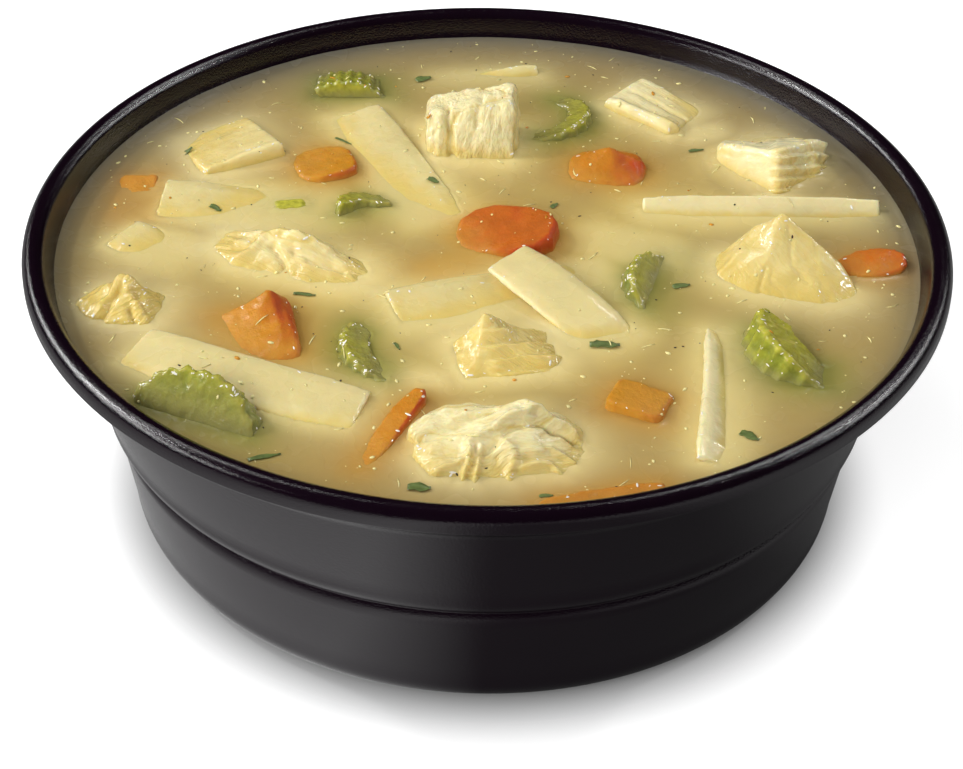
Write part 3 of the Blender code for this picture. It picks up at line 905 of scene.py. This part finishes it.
class SOUP_OT_scraps(bpy.types.Operator):
    """Sinks small scraps of food under the soup, where they only tint it"""

    bl_idname = "soup.scraps"
    bl_label = "Sunk scraps"

    def execute(self, context):
        points, faces = ball(4)
        boxy = np.sign(points) * np.abs(points) ** 0.6
        for kind in dict.fromkeys(which for which, *_ in SUNK):
            colour = getattr(context.scene.soup.food, kind)
            heap = Heap()
            for index, (which, (x, y), size, turn, height) in enumerate(SUNK):
                if which == kind:
                    worn = boxy * (1 + 0.12 * rough(points + 5 * index, 0.6, 600))[:, None]
                    spot = (x, y, SOUP_LEVEL + height)
                    heap.put(placed(worn, spot, (0, 0, 1), math.radians(turn), size), faces)
            heap.finish("sunk_" + kind, plain_material("Sunk " + kind.title(), colour, 0.25), kind)
        return {"FINISHED"}


# ---- the soup

def disc(radius, cells):
    """An even grid of quads over a disc: points (n, 2), faces, and the loop of border points."""
    side = np.linspace(-1, 1, cells + 1)
    x, y = np.meshgrid(side, side)
    x, y = x.ravel(), y.ravel()
    wide = np.abs(x) > np.abs(y)
    reach = np.where(wide, x, y)
    with np.errstate(divide="ignore", invalid="ignore"):
        turn = np.where(wide, math.pi / 4 * y / x, math.pi / 2 - math.pi / 4 * x / y)
    turn = np.nan_to_num(turn)
    points = np.stack([reach * np.cos(turn), reach * np.sin(turn)], 1) * radius
    row = cells + 1
    index = np.arange(row * row).reshape(row, row)
    faces = np.stack([index[:-1, :-1], index[:-1, 1:], index[1:, 1:], index[1:, :-1]], -1).reshape(-1, 4)
    border = np.concatenate([index[0, :-1], index[:-1, -1], index[-1, :0:-1], index[:0:-1, 0]])
    return points, faces, border


def finished(kinds):
    """The finished pieces of some kinds, whatever is scattered or sunk among them."""
    return [each for each in bpy.data.objects if each.get("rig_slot") in kinds]


def tree_of(pieces):
    """A search tree over the finished meshes of several pieces, in mm."""
    points, faces = [], []
    for piece in pieces:
        mesh = piece.data
        start = len(points)
        points.extend((vertex_array(mesh) / MM).tolist())
        faces.extend(tuple(start + v for v in face.vertices) for face in mesh.polygons)
    return BVHTree.FromPolygons(points, faces)


def distance_to(tree, points, reach):
    """Distance from each point to the nearest surface, no more than reach."""
    result = np.full(len(points), reach)
    for i, point in enumerate(points.tolist()):
        found = tree.find_nearest(point, reach)
        if found[3] is not None:
            result[i] = found[3]
    return result


def waterlines(pieces):
    """A search tree of the places where pieces come out of the soup, with how steep each is there."""
    spots, steepness = [], []
    for piece in pieces:
        points, normals = vertex_array(piece.data) / MM, vertex_array(piece.data, "normal")
        near = np.abs(points[:, 2] - SOUP_LEVEL) < 0.3
        spots.extend(points[near][:, :2].tolist())
        steepness.extend((1 - np.abs(normals[near][:, 2])).tolist())
    tree = KDTree(len(spots))
    for i, (x, y) in enumerate(spots):
        tree.insert((x, y, 0), i)
    tree.balance()
    return tree, np.array(steepness)


SURFACE_CELLS = 304  # along each side of the surface's grid
FOOD_CURVE = 0.8  # how far out from the food the soup's climb reaches
WALL_CLIMB, WALL_CURVE = 0.45, 0.7  # the same at the wall: height and reach
FAR = 12.0  # beyond which food doesn't tint the soup
HALO = 3.2  # how far the glow of pale food, and the halo of other food, reaches


def broth_material():
    material, tree, surface = shader("Creamy Broth", {
        "Subsurface Weight": 0.25, "Subsurface Radius": (1.0, 0.7, 0.3), "Subsurface Scale": 0.0012,
        "IOR": 1.35, "Coat Weight": 0.25, "Coat Roughness": 0.12})
    wet_grain(tree, surface, 0.0025, 0.24, 0.00003)
    tree.links.new(attribute(tree, "tint", "Color"), surface.inputs["Base Color"])
    return material


class SOUP_OT_broth(bpy.types.Operator):
    """Fills in the milky soup, tinted by the food that lies in it, with painted shade near the wall"""

    bl_idname = "soup.broth"
    bl_label = "Soup"

    def execute(self, context):
        look, food = context.scene.soup.broth, context.scene.soup.food
        flat, faces, border = disc(SOUP_RADIUS, SURFACE_CELLS)
        points = np.column_stack([flat, np.full(len(flat), SOUP_LEVEL)])

        spots, steepness = waterlines(finished(FOOD))
        climb = look.climb / MM
        for i, (x, y) in enumerate(flat.tolist()):
            _, spot, away = spots.find((x, y, 0))
            points[i, 2] += climb * steepness[spot] * math.exp(-away / FOOD_CURVE)
        to_wall = SOUP_RADIUS - np.hypot(flat[:, 0], flat[:, 1])
        at_wall = WALL_CLIMB * np.exp(-np.maximum(to_wall - 0.4, 0) / WALL_CURVE)
        points[:, 2] += at_wall + 0.05 * rough(points, 6.0, 11) + 0.006 * rough(points, 1.5, 12)

        tint = self.tint(points, to_wall, look, food)
        body, body_faces = self.close(points, faces, border)
        soup = new_piece("creamy_broth", body, body_faces, broth_material(), "broth", ["broth"])
        colours = np.ones((len(body), 4), np.float32)
        colours[:, :3] = np.array(look.shade)
        colours[:len(points), :3] = tint
        layer = soup.data.attributes.new("tint", "FLOAT_COLOR", "POINT")
        layer.data.foreach_set("color", colours.ravel())
        return {"FINISHED"}

    def tint(self, points, to_wall, look, food):
        """Colour of each surface point: the soup, its patches, the sunk food, and painted shade and
        reflection of the dark wall near it.
        """
        clear = look.clearness / MM
        back = smooth(-0.9, 0.9, points[:, 1] / SOUP_RADIUS)
        away = {kind: distance_to(tree_of(finished([kind])), points, FAR) for kind in FOOD}
        pale = np.minimum(away["noodle"], away["chicken"])
        broad, small = rough(points, (26.0, 20.0, 9.0), 21), rough(points, 5.0, 24)
        glow = np.exp(-pale / HALO) + 0.35 * broad + 0.12 * small
        middle = smooth(1.1, 0.3, np.hypot(points[:, 0], points[:, 1]) / SOUP_RADIUS)
        patches = smooth(0.22, 1.05, 0.6 * glow + 0.4 * middle)
        tint = np.array(look.shade) + (np.array(look.colour) - np.array(look.shade)) * patches[:, None]
        for kind, colour, most, reach, halo in (
            ("celery", food.celery_skin, 0.62, 1.3 * clear, 0.28),
            ("noodle", food.noodle, 0.72, 1.2 * clear, 0.0),
            ("chicken", food.chicken, 0.45, 1.3 * clear, 0.0),
            ("carrot", food.carrot, 0.52, 1.2 * clear, 0.17),
        ):
            share = (most - halo) * np.exp(-(away[kind] / reach) ** 1.3) + halo * np.exp(-away[kind] / HALO)
            tint += (np.array(colour) - tint) * share[:, None]
        # Painted shade and reflection of the dark wall: darker towards the wall, further and darker at the
        # back; partly the wall showing through the thin soup.
        depth = 1.4 + 6.0 * back
        dark = np.exp(-(to_wall / depth) ** 1.1) * (0.58 + 0.3 * back)
        tint += (np.array(look.edge) - tint) * dark[:, None]
        return np.clip(tint * (1 + 0.02 * rough(points, 1.4, 31))[:, None], 0, 1)

    def close(self, points, faces, border):
        """Adds the soup's side and bottom inside the bowl, so that it is one closed body."""
        wall = bpy.context.scene.soup.bowl.wall / MM
        below = [(radius + 0.2 * wall, height) for radius, height in inner_foot(wall)]
        angles = np.arctan2(points[border][:, 1], points[border][:, 0])
        body, loops = [points], [list(border)]
        count = len(points)
        for radius, height in below:
            level = np.full(len(angles), height)
            ring = np.column_stack([radius * np.cos(angles), radius * np.sin(angles), level])
            body.append(ring)
            loops.append(list(range(count, count + len(ring))))
            count += len(ring)
        body.append(np.array([[0, 0, below[-1][1]]]))
        all_faces = [tuple(face) for face in faces]
        for upper, lower in zip(loops, loops[1:]):
            for i in range(len(upper)):
                j = (i + 1) % len(upper)
                all_faces.append((upper[j], upper[i], lower[i], lower[j]))
        for i in range(len(loops[-1])):
            all_faces.append((loops[-1][(i + 1) % len(loops[-1])], loops[-1][i], count))
        return np.concatenate(body), all_faces


# ---- herbs, crumbs and drops

PARSLEY = [  # place, length, width, turn (degrees), share sunk
    ((-11.0, 49.0), 2.6, 1.5, 30, 0.0), ((-47.0, 24.7), 1.9, 1.1, 50, 0.0),
    ((-23.0, 28.7), 3.4, 0.5, -38, 0.0), ((-8.5, 16.3), 2.0, 1.1, -30, 0.0),
    ((-41.0, 8.3), 2.0, 1.2, -25, 0.5), ((10.0, 11.0), 1.6, 0.9, 60, 0.2),
    ((32.5, 27.8), 2.4, 0.8, 15, 0.1), ((28.0, -10.0), 2.6, 1.1, 20, 0.0),
    ((16.5, -25.0), 4.2, 1.6, 2, 0.0), ((-26.0, -13.8), 3.2, 0.8, -5, 0.1),
    ((-12.3, -26.0), 1.8, 0.5, -60, 0.3), ((35.0, -44.8), 2.8, 1.4, -30, 0.3),
    ((-28.5, -51.0), 4.4, 0.8, 20, 0.1), ((-8.2, -56.8), 3.0, 1.6, 0, 0.0),
    ((8.0, -58.0), 1.8, 0.8, 10, 0.5),
]


def leaf_scrap(length, width, curl, draw):
    """A scrap of leaf with a torn outline, curled across and closed all round, lying at the origin."""
    columns, rows, thickness = 9, 5, 0.07
    top = []
    for i in range(columns):
        along = i / (columns - 1)
        leafy = 0.35 + 0.65 * math.sin(math.pi * min(1, along + 0.12)) ** 0.6
        half = width / 2 * leafy * draw.uniform(0.75, 1.15)
        for j in range(rows):
            side = 2 * j / (rows - 1) - 1
            y = half * side + 0.12 * width * math.sin(5 * along)
            top.append(((along - 0.5) * length, y, curl * (side * side + 1.2 * (along - 0.4) ** 2)))
    top = np.array(top)
    bottom = top - (0, 0, thickness)
    count = len(top)
    faces = []
    for i in range(columns - 1):
        for j in range(rows - 1):
            a = i * rows + j
            faces.append((a, a + rows, a + rows + 1, a + 1))
            faces.append((count + a, count + a + 1, count + a + rows + 1, count + a + rows))
    edge = ([i * rows for i in range(columns)] + [(columns - 1) * rows + j for j in range(1, rows)]
            + [i * rows + rows - 1 for i in range(columns - 2, -1, -1)] + [j for j in range(rows - 2, 0, -1)])
    for a, b in zip(edge, edge[1:] + edge[:1]):
        faces.append((b, a, count + a, count + b))
    return np.concatenate([top, bottom]), faces


def ball(fineness=1):
    """Points and triangles of a round ball of radius 1."""
    bm = bmesh.new()
    bmesh.ops.create_icosphere(bm, subdivisions=fineness, radius=1.0)
    points = np.array([vertex.co[:] for vertex in bm.verts])
    faces = [tuple(vertex.index for vertex in face.verts) for face in bm.faces]
    bm.free()
    return points, faces


def placed(points, spot, up, turn, size):
    """Points scaled, turned about their own Z, stood along up and moved to a spot."""
    c, s = math.cos(turn), math.sin(turn)
    x, y, z = (points * size).T
    turned = np.column_stack([c * x - s * y, s * x + c * y, z])
    stood = np.array(Vector((0, 0, 1)).rotation_difference(Vector(up)).to_matrix())
    return turned @ stood.T + np.array(spot)


class Heap:
    """Many small things gathered into one mesh."""

    def __init__(self):
        self.points, self.faces, self.count = [], [], 0

    def put(self, points, faces):
        self.points.append(points)
        self.faces.extend(tuple(self.count + v for v in face) for face in faces)
        self.count += len(points)

    def finish(self, name, material, kind):
        return new_piece(name, np.concatenate(self.points), self.faces, material, kind)


def plain_material(name, colour, roughness, lighter=1.35):
    """Wet material whose colour wanders between its own tone and a lighter one."""
    material, tree, surface = shader(name, {})
    wet_grain(tree, surface, 0.0004, roughness, 0.00003)
    film = group_node(tree, "Soup Film", {
        "Colour": rgba(colour), "Second Colour": rgba([min(1, lighter * c) for c in colour]),
        "Tone": add(tree, "ShaderNodeTexNoise", {"Scale": 900.0}).outputs[0],
        "Soup": rgba(colour), "Film": 0.0, "Mottle Size": 0.0008, "Mottle": 0.25})
    tree.links.new(film.outputs["Colour"], surface.inputs["Base Color"])
    return material


def glint_bead_material():
    # Near-white and glossy: the beads are painted glints.
    material, tree, surface = shader("Milky Bead", {
        "Base Color": (1.0, 0.96, 0.86, 1.0), "Roughness": 0.05, "Specular IOR Level": 1.0})
    grain = add(tree, "ShaderNodeTexNoise", {"Scale": 700.0})
    tree.links.new(bumped(tree, grain.outputs[0], 0.00001), surface.inputs["Normal"])
    return material


def ground_tree():
    """A search tree over everything that small things can lie on."""
    return tree_of(finished([*FOOD, "broth"]))


def drop_on(ground, x, y):
    """Where a thing let fall at (x, y) lands, and which way up it lies."""
    spot, up, _, _ = ground.ray_cast((x, y, 80.0), (0, 0, -1))
    return np.array(spot), np.array(up)


class SOUP_OT_herbs(bpy.types.Operator):
    """Scatters the scraps of parsley"""

    bl_idname = "soup.herbs"
    bl_label = "Parsley"

    def execute(self, context):
        draw = random.Random(5)
        ground, heap = ground_tree(), Heap()
        for (x, y), length, width, turn, sunk in PARSLEY:
            points, faces = leaf_scrap(length, width, draw.uniform(0.05, 0.14) * width, draw)
            spot, up = drop_on(ground, x, y)
            spot[2] += 0.12 - 0.15 * sunk
            heap.put(placed(points, spot, up, math.radians(turn), 1.0), faces)
        material = plain_material("Parsley Leaf", context.scene.soup.food.parsley, 0.35)
        heap.finish("parsley", material, "celery")
        return {"FINISHED"}


class SOUP_OT_crumbs(bpy.types.Operator):
    """Scatters crumbs of meat, pepper, flecks of carrot, drops of soup and the near-white beads of painted
    glint
    """

    bl_idname = "soup.crumbs"
    bl_label = "Crumbs and drops"

    def execute(self, context):
        look = context.scene.soup
        ground = ground_tree()
        pale = [0.5 * (a + b) for a, b in zip(look.food.chicken, look.broth.colour)]
        for name, colour, count, sizes, flatness, kind, roughness, seed in (
            # sizes: the least and the most radius; flatness: thickness over width
            ("meat_crumbs", pale, 620, (0.06, 0.30), 0.4, "chicken", 0.35, 1),
            ("pepper", (0.035, 0.022, 0.015), 95, (0.07, 0.16), 0.8, "broth", 0.4, 2),
            ("carrot_flecks", look.food.carrot, 26, (0.12, 0.38), 0.4, "carrot", 0.3, 3),
        ):
            heap = self.scatter(ground, count, sizes, flatness, random.Random(seed))
            heap.finish(name, plain_material(name.replace("_", " ").title(), colour, roughness), kind)
        self.shreds(ground, random.Random(4)).finish(
            "meat_shreds", plain_material("Meat Shreds", pale, 0.28), "chicken")
        # The drops take the soup's colour near the wall, which holds painted shade and reflection of the dark
        # wall.
        self.wall_drops(random.Random(6)).finish(
            "wall_drops", plain_material("Drops of Soup", look.broth.edge, 0.1, lighter=2.5), "broth")
        self.beads(random.Random(7)).finish("wet_beads", glint_bead_material(), "broth")
        return {"FINISHED"}

    def anywhere(self, ground, margin, draw):
        """A place drawn evenly over the soup and its food, no nearer its edge than a margin."""
        radius = (SOUP_RADIUS - margin) * math.sqrt(draw.random())
        angle = draw.uniform(0, 2 * math.pi)
        return drop_on(ground, radius * math.cos(angle), radius * math.sin(angle))

    def scatter(self, ground, count, sizes, flatness, draw):
        """Uneven crumbs lying anywhere on the soup and its food."""
        points, faces = ball()
        heap = Heap()
        for _ in range(count):
            spot, up = self.anywhere(ground, 1.5, draw)
            size = sizes[0] + (sizes[1] - sizes[0]) * draw.random() ** 2.5
            stretch = np.array([draw.uniform(1.0, 2.2), 1.0, flatness]) * size
            dented = points * (1 + 0.35 * rough(points + 9 * draw.random(), 0.9, 3)[:, None])
            heap.put(placed(dented, spot + (0, 0, 0.1 * size), up, draw.uniform(0, math.pi), stretch), faces)
        return heap

    def shreds(self, ground, draw):
        """Thin curved threads of meat afloat on the soup."""
        heap = Heap()
        points, faces = ball()
        for _ in range(SHREDS):
            spot, up = self.anywhere(ground, 3, draw)
            length, thick = draw.uniform(0.5, 1.5), draw.uniform(0.06, 0.12)
            bent = points * (length, thick, thick)
            bent[:, 1] += draw.uniform(-0.3, 0.3) * bent[:, 0] ** 2
            heap.put(placed(bent, spot + (0, 0, 0.03), up, draw.uniform(0, math.pi), 1.0), faces)
        return heap

    def wall_drops(self, draw):
        """Drops of soup splashed on the inside of the wall above the soup."""
        heap = Heap()
        points, faces = ball(2)
        for _ in range(WALL_DROPS):
            back_left, back_right = draw.gauss(2.45, 0.25), draw.gauss(0.55, 0.35)
            angle = draw.choice([back_left, back_right, draw.uniform(0, 2 * math.pi)])
            height = draw.uniform(0.8, 2.4)
            radius = SOUP_RADIUS - 0.2 + 0.46 * height
            inward = np.array([-math.cos(angle), -math.sin(angle), 0.5])
            spot = (radius * math.cos(angle), radius * math.sin(angle), SOUP_LEVEL + height)
            size = draw.uniform(0.08, 0.24)
            heap.put(placed(points, spot, inward, 0.0, (size, size, 0.5 * size)), faces)
        return heap

    def beads(self, draw):
        """Flat beads of liquid on the food's ridges, where they slope to either side of the front;
        near-white, they are painted glints.
        """
        heap = Heap()
        points, faces = ball(2)
        for piece in [each for each in finished(FOOD) if "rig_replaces" in each]:
            spots, normals = vertex_array(piece.data) / MM, vertex_array(piece.data, "normal")
            slope = np.maximum(*[normals @ direction(*way) for way in GLINT_WAYS])
            proud = np.empty(len(spots), np.float32)
            piece.data.attributes["proud"].data.foreach_get("value", proud)
            lit = (slope > 0.8) & (spots[:, 2] > SOUP_LEVEL + 0.3)
            chosen = np.flatnonzero(lit & (proud > np.quantile(proud[lit], RIDGES_FROM))) if lit.any() else []
            for k in draw.sample(list(chosen), min(len(chosen) // 8, BEADS[piece["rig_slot"]])):
                size = draw.uniform(0.06, 0.19) * draw.uniform(0.5, 1.0)
                bead = (size * draw.uniform(1.2, 3.4), size, 0.3 * size)
                heap.put(placed(points, spots[k], normals[k], draw.uniform(0, math.pi), bead), faces)
        return heap


SHREDS, WALL_DROPS = 70, 46
GLINT_WAYS = ((217, 52), (-36, 53))  # azimuth and elevation that a beaded slope faces
RIDGES_FROM = 0.7  # share of the sloping points that are too low for a bead
BEADS = {"chicken": 18, "noodle": 6, "carrot": 7, "celery": 28}  # the most on one piece


# ---- the stage

LAMPS = (  # name, azimuth and elevation (degrees), width and height (m), power (W)
    ("left", 158, 38, (0.22, 0.34), 0.4),
    ("left_spark", 162, 40, (0.05, 0.05), 1.3),
    ("left_strip", 170, 28, (1.20, 0.045), 4.0),
    ("right_strip", 22, 29, (0.60, 0.04), 1.4),
    ("right_spark", 20, 44, (0.04, 0.04), 0.9),
    ("back_right", 55, 52, (0.25, 0.10), 0.7),
    ("back_left", 135, 57, (0.20, 0.10), 0.5),
    ("front", 240, 27, (0.70, 0.45), 5.5),  # left out of mirrored light
)
LAMP_DISTANCE = 0.9
AMBIENT = 0.16
FOOT_SHADE = (0.049, 0.064)  # distances from the axis (m) between which the painted shadow round the foot fades out
CARDS_REACH = 0.1  # to either side of the middle (m), over which the floor's glow varies
CARDS_ENDS = (0.26, 0.25)  # glow at the left and right end of that reach
CARDS = ((0.38, 0.58), (0.5, 0.05), (0.75, 0.036))  # share of the way across, and the glow there
EYE = (0, -0.284, 0.2279)  # the camera (m)
AIM = (-0.0005, -0.0344)  # place on the soup's level that it looks at (m)
ROLL = 0.93  # degrees
LENS, SENSOR = 86, 36


def area_lamp(name, place, target, size, power):
    data = bpy.data.lights.new(name, "AREA")
    data.shape = "RECTANGLE"
    data.size, data.size_y = size
    data.energy = power
    lamp = bpy.data.objects.new(name, data)
    lamp.location = place
    lamp.rotation_euler = (Vector(target) - Vector(place)).to_track_quat("-Z", "Y").to_euler()
    bpy.context.scene.collection.objects.link(lamp)
    return lamp


class SOUP_OT_stage(bpy.types.Operator):
    """Sets the pale floor with its painted shadow, the soft lamps and the camera"""

    bl_idname = "soup.stage"
    bl_label = "Stage"

    def execute(self, context):
        look = context.scene.soup.stage
        self.floor(look)
        middle = np.array([0, 0, RIM_HEIGHT * MM])
        for name, azimuth, elevation, size, power in LAMPS:
            place = middle + LAMP_DISTANCE * direction(azimuth, elevation)
            lamp = area_lamp(name, place, middle, size, power * look.lamp)
            lamp.visible_glossy = name != "front"
        world = bpy.data.worlds.new("studio")
        context.scene.world = world
        world.use_nodes = True
        world.node_tree.nodes["Background"].inputs["Color"].default_value = grey(1.0)
        world.node_tree.nodes["Background"].inputs["Strength"].default_value = AMBIENT
        world.cycles_visibility.glossy = False
        context.scene.view_settings.view_transform = "Standard"
        self.camera(context)
        return {"FINISHED"}

    def floor(self, look):
        """A pale floor with a painted shadow round the foot, that lights the bowl as a few dim cards side by
        side.
        """
        bm = bmesh.new()
        bmesh.ops.create_grid(bm, x_segments=8, y_segments=8, size=2.5)
        mesh = bpy.data.meshes.new("floor")
        bm.to_mesh(mesh)
        bm.free()
        material, tree, surface = shader("Pale Floor", {
            "Roughness": 1.0, "Specular IOR Level": 0.0, "Emission Strength": 1.0})
        seen = add(tree, "ShaderNodeLightPath").outputs["Is Camera Ray"]
        place = add(tree, "ShaderNodeTexCoord").outputs["Object"]
        from_axis = add(tree, "ShaderNodeVectorMath", {0: place}, operation="LENGTH").outputs["Value"]
        # Painted shadow: near the foot the floor is darker and glows less; to all rays but the camera's it is
        # near black.
        clear = add(tree, "ShaderNodeMapRange", {
            "Value": from_axis, "From Min": FOOT_SHADE[0], "From Max": FOOT_SHADE[1]},
            interpolation_type="SMOOTHSTEP").outputs[0]
        bright = mixed(tree, clear, grey(0.3), grey(look.floor))
        tree.links.new(mixed(tree, seen, grey(0.04), bright), surface.inputs["Base Color"])
        across = add(tree, "ShaderNodeSeparateXYZ", {"Vector": place}).outputs["X"]
        cards = add(tree, "ShaderNodeValToRGB", {"Fac": add(tree, "ShaderNodeMapRange", {
            "Value": across, "From Min": -CARDS_REACH, "From Max": CARDS_REACH}).outputs[0]})
        ramp = cards.color_ramp.elements
        ramp[0].color, ramp[1].color = grey(CARDS_ENDS[0]), grey(CARDS_ENDS[1])
        for share, value in CARDS:
            ramp.new(share).color = grey(value)
        lit = mixed(tree, clear, grey(0.0), grey(0.55))
        tree.links.new(mixed(tree, seen, cards.outputs["Color"], lit), surface.inputs["Emission Color"])
        mesh.materials.append(material)
        floor = bpy.data.objects.new("floor", mesh)
        floor.location.z = -0.0001
        bpy.context.scene.collection.objects.link(floor)

    def camera(self, context):
        """Looks down on the soup from the front; the lens covers 42 cm at 1 m."""
        data = bpy.data.cameras.new("camera")
        data.sensor_width = SENSOR
        data.lens = LENS
        camera = bpy.data.objects.new("camera", data)
        aim = Vector((*AIM, SOUP_LEVEL * MM)) - Vector(EYE)
        turn = aim.to_track_quat("-Z", "Y").to_matrix().to_4x4()
        roll = Matrix.Rotation(math.radians(ROLL), 4, "Z")
        camera.matrix_world = Matrix.Translation(EYE) @ turn @ roll
        context.scene.collection.objects.link(camera)
        context.scene.camera = camera


class SOUP_PT_panel(bpy.types.Panel):
    """Lists the steps that build the bowl of soup"""

    bl_idname = "SOUP_PT_panel"
    bl_label = "Bowl of Soup"
    bl_space_type = "VIEW_3D"
    bl_region_type = "UI"
    bl_category = "Soup"

    def draw(self, context):
        for operator in STEPS:
            self.layout.operator(operator.bl_idname)
        soup = context.scene.soup
        for look in (soup.bowl, soup.broth, soup.food, soup.stage):
            box = self.layout.box()
            for name in look.__annotations__:
                box.prop(look, name)


STEPS = (
    SOUP_OT_bowl, SOUP_OT_chicken, SOUP_OT_noodles, SOUP_OT_carrots, SOUP_OT_celery, SOUP_OT_scraps,
    SOUP_OT_broth, SOUP_OT_herbs, SOUP_OT_crumbs, SOUP_OT_stage,
)
CLASSES = (SoupBowlLook, SoupBrothLook, SoupFoodLook, SoupStageLook, SoupLook, *STEPS, SOUP_PT_panel)


def register():
    for each in CLASSES:
        bpy.utils.register_class(each)
    bpy.types.Scene.soup = PointerProperty(type=SoupLook)


def unregister():
    del bpy.types.Scene.soup
    for each in reversed(CLASSES):
        bpy.utils.unregister_class(each)


def main():
    register()
    build_wet_grain()
    build_soup_film()
    build_meat_fibre()
    bpy.ops.soup.bowl()
    bpy.ops.soup.chicken()
    bpy.ops.soup.noodles()
    bpy.ops.soup.carrots()
    bpy.ops.soup.celery()
    bpy.ops.soup.scraps()
    bpy.ops.soup.broth()
    bpy.ops.soup.herbs()
    bpy.ops.soup.crumbs()
    bpy.ops.soup.stage()


if __name__ == "__main__":
    main()
